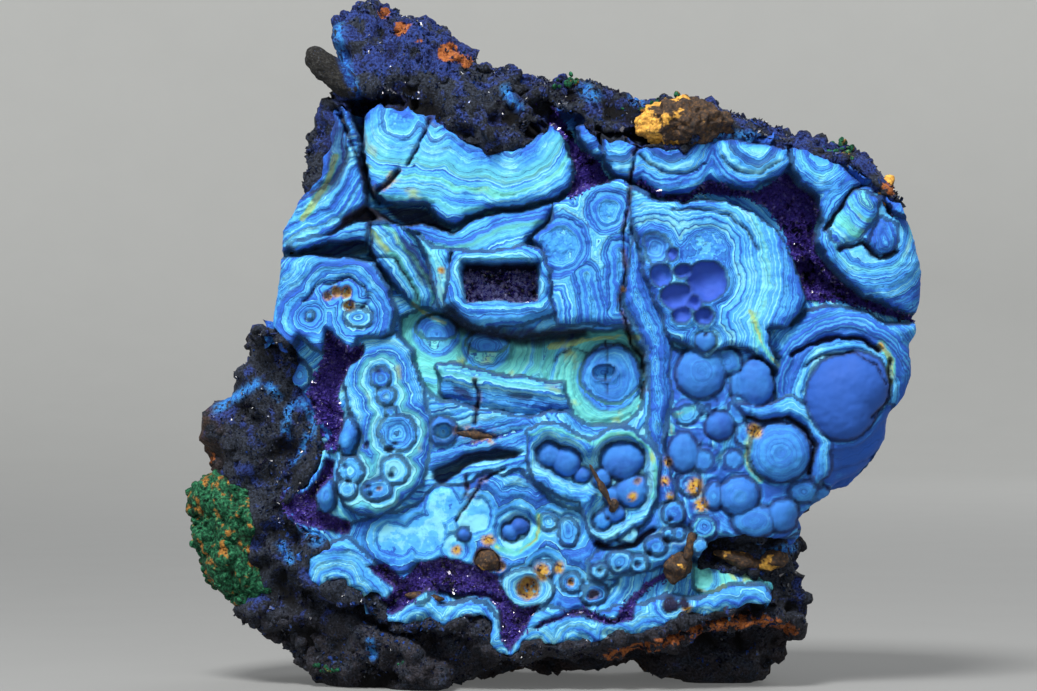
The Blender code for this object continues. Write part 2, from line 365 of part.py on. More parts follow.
def smooth(low, high, value):
    t = np.clip((value - low) / (high - low), 0, 1)
    return t * t * (3 - 2 * t)


def to_line(across, down, points):
    best = np.full(np.shape(across), 1e9)
    for (a0, d0), (a1, d1) in zip(points, points[1:]):
        la, ld = a1 - a0, d1 - d0
        t = np.clip(((across - a0) * la + (down - d0) * ld) / (la * la + ld * ld), 0, 1)
        best = np.minimum(best, np.hypot(across - a0 - t * la, down - d0 - t * ld))
    return best


def within(across, down, outline):
    """Distance to the outline, positive inside it."""
    ring = list(outline) + [outline[0]]
    inside = np.zeros(np.shape(across), bool)
    for (a0, d0), (a1, d1) in zip(ring, ring[1:]):
        if d0 != d1:
            beside = across < (a1 - a0) * (down - d0) / (d1 - d0) + a0
            inside ^= ((d0 > down) != (d1 > down)) & beside
    return np.where(inside, 1, -1) * to_line(across, down, ring)


def grown(outline, by):
    """The outline moved outwards, or inwards where by is negative."""
    p = np.array(outline)
    area = np.sum(p[:, 0] * np.roll(p[:, 1], -1) - np.roll(p[:, 0], -1) * p[:, 1])
    side = np.roll(p, -1, 0) - p
    normal = np.stack([side[:, 1], -side[:, 0]], 1) * np.sign(area)
    normal /= np.linalg.norm(normal, axis=1)[:, None]
    corner = normal + np.roll(normal, 1, 0)
    corner /= np.maximum(np.sum(corner * normal, axis=1), 0.6)[:, None]
    return [tuple(q) for q in p + by * corner]


# ---------------------------------------------------------------- the face's relief

def growth_distance(across, down, seeds):
    """Distance from the nearest place where the layers began: a disc or a line."""
    best = np.full(np.shape(across), 1e9)
    for seed in seeds:
        if isinstance(seed, list):
            best = np.minimum(best, to_line(across, down, seed))
        else:
            best = np.minimum(best, np.hypot(across - seed[0], down - seed[1]) - seed[2])
    return best


def bent(across, down):
    """The sheet place moved a little, so that no outline stays straight."""
    flat = np.zeros_like(across)
    moves = [0.55 * rough(across, down, flat + z, 5.0, 3, seed) for z, seed in ((0, 11), (9, 21))]
    fine = [0.25 * rough(across, down, flat, 1.6, 2, seed) for seed in (31, 41)]
    return across + moves[0] + fine[0], down + moves[1] + fine[1]


def panel_relief(across, down):
    """Heights of the panels laid over each other, each falling away from where it began to grow."""
    height = np.zeros_like(across)
    for panel in PANELS:
        share, centre = 1.0, (0.0, 0.0)
        if panel.outline:
            edge = within(across, down, panel.outline)
            share, centre = smooth(-LEDGE_HALF_WIDTH, LEDGE_HALF_WIDTH, edge), np.mean(panel.outline, 0)
        flat = panel.height + panel.tilt[0] * (across - centre[0]) + panel.tilt[1] * (down - centre[1])
        fall = panel.slope * np.maximum(growth_distance(across, down, panel.seeds), 0)
        height += (flat - fall - height) * share
    return height


def face_height(across, down):
    """Height of the face towards the viewer at each sheet place."""
    wa, wd = bent(across, down)
    height = panel_relief(wa, wd)
    for basin in BASINS:
        height += (basin.height - height) * smooth(-0.5, 0.6, within(wa, wd, basin.outline))
    ground = height.copy()
    for mound in MOUNDS:
        centre = np.argmin(np.hypot(across - mound.across, down - mound.down))
        reach = np.hypot((across - mound.across) / mound.half_width, (down - mound.down) / mound.half_height)
        bulge = mound.rise * np.sqrt(np.clip(1 - reach * reach, 0, 1))
        if mound.rise > 0:
            height = np.where(reach < 1, np.maximum(height, ground[centre] - 0.3 + bulge), height)
        else:
            height = np.where(reach < 1, np.minimum(height, ground[centre] + 0.4 + bulge), height)
    for hollow in HOLLOWS:
        share = smooth(-0.3, 0.9, within(wa, wd, hollow.outline))
        height = np.minimum(height, height + (hollow.floor - height) * share)
    for crack in CRACKS:
        beside = to_line(wa, wd, crack.points) / crack.width
        height -= crack.depth * (1 - smooth(0.3, 0.9, beside))
    for pit_across, pit_down, radius in PITS:
        reach = np.hypot(wa - pit_across, wd - pit_down) / radius
        height -= PIT_STEEPNESS * radius * (1 - smooth(0.7, 1.05, reach))
    return height


def rock_share(across, down):
    """1 on the rough rock and on the crystal crusts, 0 on the smooth azurite."""
    share = 1 - smooth(-0.6, 0.4, within(across, down, AZURITE))
    for hollow in HOLLOWS:
        if hollow.name.startswith("valley"):
            share = np.maximum(share, smooth(-0.2, 0.6, within(across, down, hollow.outline)))
    return share


# ---------------------------------------------------------------- making solids

def collection(name, helper=False):
    made = bpy.data.collections.new(name)
    bpy.context.scene.collection.children.link(made)
    made.hide_render = helper
    return made


def material(name, colour, roughness):
    made = bpy.data.materials.new(name)
    made.use_nodes = True
    shader = made.node_tree.nodes["Principled BSDF"]
    shader.inputs["Base Color"].default_value = (*colour, 1)
    shader.inputs["Roughness"].default_value = roughness
    made.diffuse_color = (*colour, 1)
    return made


def add_object(name, mesh, group):
    made = bpy.data.objects.new(name, mesh)
    group.objects.link(made)
    if group.hide_render:
        made.hide_render = True
        made.display_type = "WIRE"
    return made


def evaluated_mesh(obj):
    bpy.context.view_layer.update()
    return bpy.data.meshes.new_from_object(obj.evaluated_get(bpy.context.evaluated_depsgraph_get()))


def corners_of(mesh):
    flat = np.empty(len(mesh.vertices) * 3, np.float32)
    mesh.vertices.foreach_get("co", flat)
    return flat.reshape(-1, 3).astype(float) / MM


def move_corners(mesh, points):
    mesh.vertices.foreach_set("co", (points * MM).astype(np.float32).ravel())
    mesh.update()


def slab_mesh(outline, front, back):
    """A flat outline of the sheet as a closed slab between two depths, in place."""
    curve = bpy.data.curves.new("outline", "CURVE")
    curve.dimensions, curve.fill_mode = "2D", "BOTH"
    curve.extrude = (back - front) / 2 * MM
    spline = curve.splines.new("POLY")
    spline.points.add(len(outline) - 1)
    for point, (across, down) in zip(spline.points, outline):
        point.co = ((across - SHEET_CENTRE) * MM, (SHEET_FOOT - down) * MM, 0, 1)
    spline.use_cyclic_u = True
    helper = bpy.data.objects.new("outline", curve)
    bpy.context.scene.collection.objects.link(helper)
    mesh = evaluated_mesh(helper)
    bpy.data.objects.remove(helper)
    weld(mesh)
    points = corners_of(mesh)
    depth = DATUM_Y + (front + back) / 2 - points[:, 2]
    move_corners(mesh, np.stack([points[:, 0], depth, points[:, 1]], 1))
    return mesh


def weld(mesh):
    """Joins a curve's loose caps to its sides and turns every face outwards."""
    held = bmesh.new()
    held.from_mesh(mesh)
    bmesh.ops.remove_doubles(held, verts=held.verts, dist=1e-6)
    bmesh.ops.recalc_face_normals(held, faces=held.faces)
    held.to_mesh(mesh)
    held.free()


def cutter(name, outline, back, group, front=IN_FRONT):
    return add_object(name, slab_mesh(outline, front, back), group)


def add_boolean(obj, operation, other):
    step = obj.modifiers.new(f"{operation.lower()} {other.name}", "BOOLEAN")
    step.operation, step.solver, step.object = operation, "EXACT", other
    step.use_self = True


def remeshed(mesh, step, group):
    """The mesh as one even skin of small faces."""
    helper = add_object("remesh", mesh, group)
    skin = helper.modifiers.new("skin", "REMESH")
    skin.mode, skin.voxel_size = "VOXEL", step * MM
    made = evaluated_mesh(helper)
    bpy.data.objects.remove(helper)
    return made


def thinned(mesh, triangles, group, plain=None):
    """The mesh reduced to about this many triangles, with more of them where plain is low."""
    helper = add_object("thin", mesh, group)
    mesh.calc_loop_triangles()
    fewer = helper.modifiers.new("fewer", "DECIMATE")
    fewer.ratio = triangles / len(mesh.loop_triangles)
    if plain is not None:
        weights = helper.vertex_groups.new(name="plain")
        for index, weight in enumerate(plain):
            weights.add([index], float(weight), "REPLACE")
        fewer.vertex_group, fewer.vertex_group_factor = weights.name, 1.0
    made = evaluated_mesh(helper)
    bpy.data.objects.remove(helper)
    return made


# ---------------------------------------------------------------- the whole rock, before it is parted

def shaped_rock(points):
    """The even block's corners moved to the rock's form."""
    x, y, z = points.T
    depth = y - DATUM_Y
    inward = np.clip(depth / ROCK_DEPTH, 0, 1)
    across, down = x + SHEET_CENTRE, SHEET_FOOT - z
    edge = np.maximum(within(across, down, SILHOUETTE), 0)
    stony = np.where(depth < 1, rock_share(across, down), 1)

    roll = 1 - np.sqrt(1 - (1 - np.minimum(edge / ROLL_WIDTH, 1)) ** 2)
    relief = face_height(across, down) - ROLL_DEPTH * roll
    relief += stony * FACE_LUMPS * rough(across, down, 0 * down, 7.0, 3, 51)
    depth = depth - relief * (1 - inward) ** 1.5

    bulge = 1 - np.clip(np.hypot(x / 75, (z - 62) / 72), 0, 1) ** 2
    depth = depth + BACK_DOME * (bulge - 1) * smooth(0.75, 1.0, inward)
    narrower = 1 - BACK_TAPER * inward ** 1.8
    x, z = x * narrower, z * narrower

    swell = smooth(0.0, 0.25, inward)
    lumps = [SIDE_LUMPS * rough(x, y, z, 15.0, 4, seed) for seed in (71, 81, 91)]
    x, z = x + swell * lumps[0], z + swell * lumps[2]
    depth = depth + smooth(0.6, 1.0, inward) * lumps[1]
    for across_foot, depth_foot, half_width, half_depth in FEET:
        reach = np.hypot((across - across_foot) / half_width, (depth - depth_foot) / half_depth)
        low = 1 - smooth(0.4 * FOOT_HEIGHT, FOOT_HEIGHT, z)
        z = z - FOOT_DROP * low * (1 - smooth(0.55, 1.0, reach))
    return np.stack([x, DATUM_Y + depth, z], 1)


def whole_rock(group):
    block = remeshed(slab_mesh(SILHOUETTE, 0, ROCK_DEPTH), REMESH_STEP, group)
    move_corners(block, shaped_rock(corners_of(block)))
    block = remeshed(block, REMESH_STEP, group)
    x, y, z = corners_of(block).T
    front = 1 - smooth(8.0, 14.0, y - DATUM_Y)
    azure = smooth(-1.0, 1.0, within(x + SHEET_CENTRE, SHEET_FOOT - z, AZURITE))
    return thinned(block, ROCK_TRIANGLES, group, plain=0.6 - front * (0.15 + 0.35 * azure))


# ---------------------------------------------------------------- the sub-parts

def ground_cut(cutters):
    """All that is below the foot line."""
    below = [(0, SHEET_FOOT), (250, SHEET_FOOT), (250, SHEET_FOOT + 20), (0, SHEET_FOOT + 20)]
    return cutter("ground_cut", below, 100, cutters)


def azurite(rock, parts, cutters):
    made = add_object("azurite", rock.copy(), parts)
    made.data.materials.append(material("azurite", (0.05, 0.35, 0.82), 0.8))
    add_boolean(made, "INTERSECT", cutter("azurite_bounds", AZURITE, AZURITE_BACK, cutters))
    add_boolean(made, "DIFFERENCE", cutter("pocket", POCKET, POCKET_FLOOR, cutters))
    for hollow in crusted_hollows():
        bed = cutter(hollow.name + "_bed", grown(hollow.outline, GAP), CRUST_BACK + GAP, cutters)
        add_boolean(made, "DIFFERENCE", bed)
    add_boolean(made, "DIFFERENCE", bpy.data.objects["limonite_room"])


def matrix(rock, parts, cutters):
    made = add_object("matrix", rock.copy(), parts)
    made.data.materials.append(material("matrix", (0.03, 0.03, 0.05), 0.75))
    finger = lump_mesh(FINGER_CENTRE, FINGER_RADII, 0, FINGER_LEAN)
    add_boolean(made, "UNION", add_object("finger", thinned(finger, FINGER_TRIANGLES, cutters), cutters))
    seat = cutter("azurite_seat", grown(AZURITE, GAP), AZURITE_BACK + GAP, cutters)
    add_boolean(made, "DIFFERENCE", seat)
    green_seat = cutter("malachite_seat", grown(MALACHITE, GAP), MALACHITE_BACK + GAP, cutters)
    add_boolean(made, "DIFFERENCE", green_seat)
    add_boolean(made, "DIFFERENCE", bpy.data.objects["limonite_room"])
    add_boolean(made, "DIFFERENCE", ground_cut(cutters))


def crusted_hollows():
    return [hollow for hollow in HOLLOWS if hollow.name.startswith("valley")]


def valley_crust(hollow, rock, colour, parts, cutters):
    """The crystals that line one of the valleys, as one crust."""
    made = add_object(hollow.name + "_druse", rock.copy(), parts)
    made.data.materials.append(colour)
    add_boolean(made, "INTERSECT", bpy.data.objects["azurite_bounds"])
    add_boolean(made, "INTERSECT", cutter(hollow.name + "_bounds", hollow.outline, CRUST_BACK, cutters))


def pocket_druse(colour, parts, cutters):
    """The crystals on the pocket's floor and lower walls, as one cup with a jagged inside."""
    outline, rim = grown(POCKET, -GAP), POCKET_FLOOR - CUP_HEIGHT
    mesh = remeshed(slab_mesh(outline, rim, POCKET_FLOOR - GAP), CRYSTAL, cutters)
    points = corners_of(mesh)
    across, down = points[:, 0] + SHEET_CENTRE, SHEET_FOOT - points[:, 2]
    front = points[:, 1] - DATUM_Y < rim + 2 * CRYSTAL
    middle = smooth(0, CRYSTAL, within(across, down, outline) - CRUST_THICKNESS)
    jagged = CRYSTAL * rough(across, down, 0 * down, 2 * CRYSTAL, 2, 101)
    points[:, 1] += front * (middle * (CUP_HEIGHT - 1.5 * CRUST_THICKNESS) + 1.4 * jagged)
    move_corners(mesh, points)
    made = add_object("pocket_druse", thinned(mesh, CUP_TRIANGLES, cutters), parts)
    made.data.materials.append(colour)


def malachite_crust(rock, parts, cutters):
    made = add_object("malachite_crust", rock.copy(), parts)
    made.data.materials.append(material("malachite", (0.05, 0.3, 0.16), 0.7))
    add_boolean(made, "INTERSECT", cutter("malachite_bounds", MALACHITE, MALACHITE_BACK, cutters))


def lump_mesh(centre, radii, clearance, lean=0.0):
    """A knobbly ball about a sheet place, leaning sideways, with its skin moved out by the clearance."""
    bpy.ops.mesh.primitive_ico_sphere_add(subdivisions=4, radius=1)
    helper = bpy.context.object
    mesh = helper.data.copy()
    bpy.data.objects.remove(helper)
    ball = corners_of(mesh) * MM
    points = ball * radii
    knobs = 0.8 * rough(*points.T, 5.0, 3, 121)
    out = ball / radii
    out /= np.linalg.norm(out, axis=1)[:, None]
    points = points + out * (knobs + clearance)[:, None]
    turned = points[:, 0] + 1j * points[:, 2]
    turned = turned * np.exp(-1j * lean)
    points[:, 0], points[:, 2] = turned.real, turned.imag
    across, down, depth = centre
    move_corners(mesh, points + (across - SHEET_CENTRE, DATUM_Y + depth, SHEET_FOOT - down))
    return mesh


def limonite_lump(parts, cutters):
    """The ochre lump on the upper edge, and the room that its neighbours leave for it."""
    lump, room = [lump_mesh(LIMONITE_CENTRE, LIMONITE_RADII, clearance) for clearance in (0, 2 * GAP)]
    made = add_object("limonite_lump", thinned(lump, LUMP_TRIANGLES, cutters), parts)
    made.data.materials.append(material("limonite", (0.45, 0.24, 0.06), 0.8))
    add_object("limonite_room", thinned(room, LUMP_TRIANGLES, cutters), cutters)


def main():
    for obj in list(bpy.data.objects):
        bpy.data.objects.remove(obj)
    parts, cutters = collection("azurite specimen"), collection("cutters", helper=True)
    rock = whole_rock(cutters)
    limonite_lump(parts, cutters)
    azurite(rock, parts, cutters)
    matrix(rock, parts, cutters)
    malachite_crust(rock, parts, cutters)
    druse = material("azurite_crystals", (0.03, 0.02, 0.14), 0.3)
    for hollow in crusted_hollows():
        valley_crust(hollow, rock, druse, parts, cutters)
    pocket_druse(druse, parts, cutters)


main()
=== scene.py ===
"""Azurite specimen: the banded blue face, its crystal-lined hollows and the dark rock that carries them."""

from collections import namedtuple
from functools import cache

import bmesh
import bpy
import numpy as np
from bpy.props import FloatProperty, FloatVectorProperty, IntProperty, PointerProperty
from bpy.types import Operator, Panel, PropertyGroup
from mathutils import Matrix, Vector


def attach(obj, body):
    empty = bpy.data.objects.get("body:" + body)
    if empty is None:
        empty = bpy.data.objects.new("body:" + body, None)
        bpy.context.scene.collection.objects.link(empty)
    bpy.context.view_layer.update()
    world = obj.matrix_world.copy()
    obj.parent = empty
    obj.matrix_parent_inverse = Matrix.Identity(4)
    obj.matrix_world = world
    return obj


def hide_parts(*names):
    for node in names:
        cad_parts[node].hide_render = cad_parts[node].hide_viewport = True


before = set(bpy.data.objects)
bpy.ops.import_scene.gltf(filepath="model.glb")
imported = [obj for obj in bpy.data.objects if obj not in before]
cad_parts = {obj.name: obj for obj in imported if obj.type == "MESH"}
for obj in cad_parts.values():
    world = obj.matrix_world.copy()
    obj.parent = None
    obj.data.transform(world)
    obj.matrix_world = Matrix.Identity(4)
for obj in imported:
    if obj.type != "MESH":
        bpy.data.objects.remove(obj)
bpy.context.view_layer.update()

bl_info = {
    "name": "Azurite specimen",
    "version": (1, 0, 0),
    "blender": (4, 5, 0),
    "location": "View3D > Sidebar > Azurite",
    "description": "Builds a banded azurite specimen with its crystals, crusts and rock",
    "category": "Object",
}

# Places on the face are given on an upright sheet in millimetres: across from the left, down from the top.
MM = 0.001
SHEET_CENTRE, SHEET_FOOT = 110.9, 138.2
DATUM_Y = -25.8     # where the sheet stands in the frame; depths are counted back from it
ROCK_DEPTH, AZURITE_BACK, MALACHITE_BACK = 55.0, 20.0, 23.0
ROLL_WIDTH, ROLL_DEPTH = 8.0, 4.5     # how the face rolls off to the silhouette
BACK_TAPER, BACK_DOME, BACK_MIDDLE, BACK_REACH = 0.2, 7.0, 62.0, (75.0, 72.0)
SIDE_LUMPS, FACE_LUMPS = 3.6, 2.0
CREST_HEIGHT = 112.0
VALLEY_BACK, FRONT_BACK, POCKET_BACK = 14.0, 16.0, 18.0     # how far back the crystals of each place grow
CRYSTAL_SLIM = 0.42     # half width of a crystal to its length
CHANNEL_CRYSTALS, POCKET_CRYSTALS, COVER_KNOBS = 9000, 4000, 330     # how many there are
FEET = [(73.0, 24.0, 15.0, 21.0), (144.5, 34.0, 13.0, 16.0)]    # across, depth, half width, half depth
FOOT_DROP, FOOT_HEIGHT = 3.4, 12.0
# The relief look of knobs and finger sets how much painted light their tops get in the rock finish.
KNOB_RELIEF, FINGER_RELIEF = 0.85, 0.5     # how far they stand out of the rock's creases, from 0 to 1
POCKET = ((92.4, 52.4), (108.0, 52.2), (107.6, 60.4), (93.0, 60.6))
POCKET_FLOOR, POCKET_RISE = 14.0, 8.0
EARTHY_LUMPS = [    # place and radii, lean
    ((135.5, 113.6, 1.6), (2.9, 2.4, 2.8), 0.2), ((137.9, 109.6, 0.4), (1.0, 1.1, 3.0), 0.2),
    ((97.3, 112.2, 2.4), (2.5, 1.5, 1.9), 0.5), ((120.3, 97.3, -1.2), (0.55, 0.5, 5.0), -0.5),
    ((148.6, 112.4, 6), (6.0, 2.6, 1.5), 0.3), ((155, 112.6, 6.4), (3.6, 2.8, 1.8), -0.3),
    ((95, 87, 0.4), (3.6, 0.6, 0.55), 0.1), ((122.8, 101.2, 0.2), (0.9, 0.8, 1.3), 0.3),
    ((85, 119.6, 2.6), (4.2, 1.4, 0.8), 0.1), ((177.4, 38.4, 3.6), (1.5, 1.4, 3.4), 0.35)
]
LIMONITE_CENTRE, LIMONITE_RADII = (136.9, 24.3, 2.5), (9.2, 5.6, 4.6)
FINGER_CENTRE, FINGER_RADII, FINGER_LEAN = (66.6, 14.4, 3.5), (2.9, 3.4, 7.2), -0.85
STREAKS = [    # half width, points
    (1.3, [(67.4, 5), (67.6, 9), (69.4, 14.5), (71, 18.5)]), (1.6, [(60.5, 105.5), (63.5, 108)]),
    (1.0, [(74, 128), (74.6, 131.5)]), (1.2, [(101, 18), (103.5, 21.5)]), (1.6, [(127.5, 19), (129, 23)]),
    (1.6, [(117, 17.5), (119, 19)]), (1.4, [(140.5, 28.6), (146, 27.2), (151, 27.4)]),
    (1.1, [(42, 82), (46, 79.6), (50.5, 76.8)]), (0.9, [(58, 92.6), (61, 88.4), (62.2, 84.5), (61.5, 81.6),
    (59.1, 80.4), (57.2, 82), (56.6, 86.5), (57.6, 90)]), (1.0, [(55.8, 109.4), (57.6, 112.6)]),
    (0.8, [(53, 77), (55.4, 79.6)]), (1.4, [(154, 111.6), (157, 110.4), (159.6, 110)])
]
RUSTY_EDGE = [
    (122, 131.4), (130, 129.6), (137, 127.2), (144.1, 125.2), (151.3, 124), (155, 124.6), (159.4, 127)
]
RUSTY_EDGE_WIDTH = 1.8
RUST_SPOTS = [    # across, down, radius
    (80, 5.4, 2.4), (76.5, 1.8, 2), (89.6, 10.4, 3.2), (93, 12, 2.2), (83.5, 8.2, 1.2), (178, 37.5, 2.4),
    (177, 41, 1.8), (136, 115.5, 3.2), (40, 92, 2), (42, 117, 3)
]
MAP_LOW, MAP_SIZE, MAP_STEP = (30.0, -6.0), (172, 154), 0.3
LEDGE = 0.35     # half the width of a panel's edge
RIM_WIDTH, RIM_DROP, RIM_TONE = 2.0, 1.0, 0.5     # how a panel rolls off and darkens to its border

FacePanel = namedtuple("FacePanel", "name height tilt slope step tone green seeds outline")
Hollow = namedtuple("Hollow", "name floor dark rust outline")
Basin = namedtuple("Basin", "name height outline")
Mound = namedtuple("Mound", "across down half_width half_height rise tone")
Crack = namedtuple("Crack", "name width depth dark rust points")
Seam = namedtuple("Seam", "amount width points")

SILHOUETTE = [
    (67.2, 5), (69, 2.4), (71.5, 1.4), (74.4, .8), (78.4, 2.4), (85, 4.4), (90.5, 8), (93.4, 11), (94, 13),
    (100, 14), (108, 15.4), (112, 14.4), (116, 15.6), (120, 17.2), (128, 19.2), (133.6, 19.4), (141, 20),
    (147, 22.5), (154, 25.4), (162.4, 27.6), (167, 28.8), (171.5, 30.5), (175, 33.4), (178.6, 36.6),
    (180.5, 41), (183, 46.5), (185, 54), (184.8, 60), (183.8, 64), (184, 66), (182.4, 69), (182.8, 75),
    (181, 79.5), (178, 83), (177.6, 88), (175, 92.4), (172, 95), (168, 96.5), (166, 99.2), (163, 101),
    (160, 104), (160, 109), (159.5, 113), (158.5, 115.5), (161.5, 121), (161, 125), (158.5, 129),
    (157, 132.5), (154.5, 134.5), (153.8, 137), (151, 138.4), (147, 139.5), (140, 139.5), (135, 136.5),
    (131, 136), (128.5, 132.8), (124, 133.8), (118, 135), (112, 134.4), (104, 134.8), (96, 136.4),
    (90, 137.5), (84, 139.5), (79, 139.5), (76.5, 137), (66, 136.6), (62.4, 135.6), (59.5, 132), (56, 130),
    (53.5, 127.5), (50, 126.4), (46.5, 124), (45.6, 121.6), (47.5, 119.5), (43, 118.4), (41, 116),
    (39.6, 113.5), (40, 110.5), (38, 108), (39.4, 105), (36.8, 103), (37.4, 99.5), (41, 96), (40.5, 92.5),
    (39, 88.5), (38.8, 84), (43, 81), (46.5, 77), (45.8, 74.6), (49.8, 72), (49, 68.5), (51.6, 66),
    (54.2, 66.4), (54.6, 63), (55.6, 56), (56, 50), (56.2, 46), (59, 41), (61, 36), (61.8, 29), (63, 23),
    (64.5, 21), (66.5, 18), (67, 11)
]
AZURITE = [
    (68, 20.5), (72.5, 22.5), (76, 19.5), (78, 21), (83.5, 22), (89.5, 24.5), (93.5, 28), (98, 30.5),
    (104.5, 29.5), (108, 26.5), (111, 21.5), (115.5, 24), (119, 26.5), (124, 28), (130, 29.5), (137, 29.8),
    (140, 27.5), (146, 26.4), (152, 27.2), (158, 28.8), (165, 30.2), (171.2, 33.6), (175.2, 37.2),
    (178.2, 39.6), (181, 40), (196, 38), (196, 66), (194, 80), (190, 88), (186, 95), (178, 101), (171, 105),
    (165, 109.5), (158, 109.5), (151, 108.5), (146, 108), (143, 109), (141, 112), (140, 113.2),
    (143.6, 113.6), (148, 114.4), (152.4, 115), (155.2, 116.2), (155.8, 118.2), (154.6, 120.1),
    (154.5, 121.1), (151.6, 121.3), (149.5, 120.2), (148.1, 121.7), (145.6, 121.3), (142.7, 122.4),
    (139.9, 121.9), (137, 123.1), (133.4, 124.9), (130.6, 126), (127.4, 126.7), (126.8, 128.8),
    (125.8, 129.2), (125.4, 127), (123.1, 126), (120.8, 127), (120.4, 129.5), (119.1, 128.8),
    (116.6, 127.4), (114.1, 127.9), (112, 129.2), (109, 129.9), (107.8, 128), (105.1, 129), (104, 131.2),
    (101.7, 131.9), (99, 130.6), (97.6, 128.8), (97.6, 124.9), (96.3, 123.2), (92.9, 123.4), (90.2, 124.9),
    (89.1, 127.6), (88.3, 125.3), (86.4, 123.4), (83, 123.4), (80.7, 125.5), (77.2, 124.9), (76.4, 121),
    (74.5, 119), (72.6, 120.6), (71.6, 118.2), (69.4, 118.2), (69, 116.2), (65.6, 116), (64.6, 118.4),
    (61.5, 116.8), (61.1, 114.5), (62, 111), (65, 108.7), (60, 106), (56, 103), (55.5, 101.5), (60, 98),
    (62.5, 94), (64, 90), (63, 85), (60, 80), (57.5, 77), (59, 72.5), (57.8, 69.5), (55, 66.6), (46, 64.6),
    (46, 46), (51, 41.6), (57, 39.6), (60.6, 37), (63, 33.4), (64.8, 29.4), (66, 24), (65, 20)
]
GRAINS = [    # across, down, radius
    (67.3, 117.4, 2.3), (70.5, 120.8, 2.1), (83.7, 125.9, 2.7), (94.1, 125.4, 3), (99.8, 131.9, 1.2),
    (106.9, 130, 1.8), (115.8, 129.8, 2.6), (123.1, 128, 2.2), (130.4, 128.2, 2.8), (133.8, 120.9, 1.8),
    (136.6, 120.5, 1.2), (137.2, 126, 3), (141, 124.4, 2.4), (145.4, 123, 1.9), (150, 121.8, 1.5),
    (88.5, 128.4, 2.2), (76, 128.4, 2.4)
]
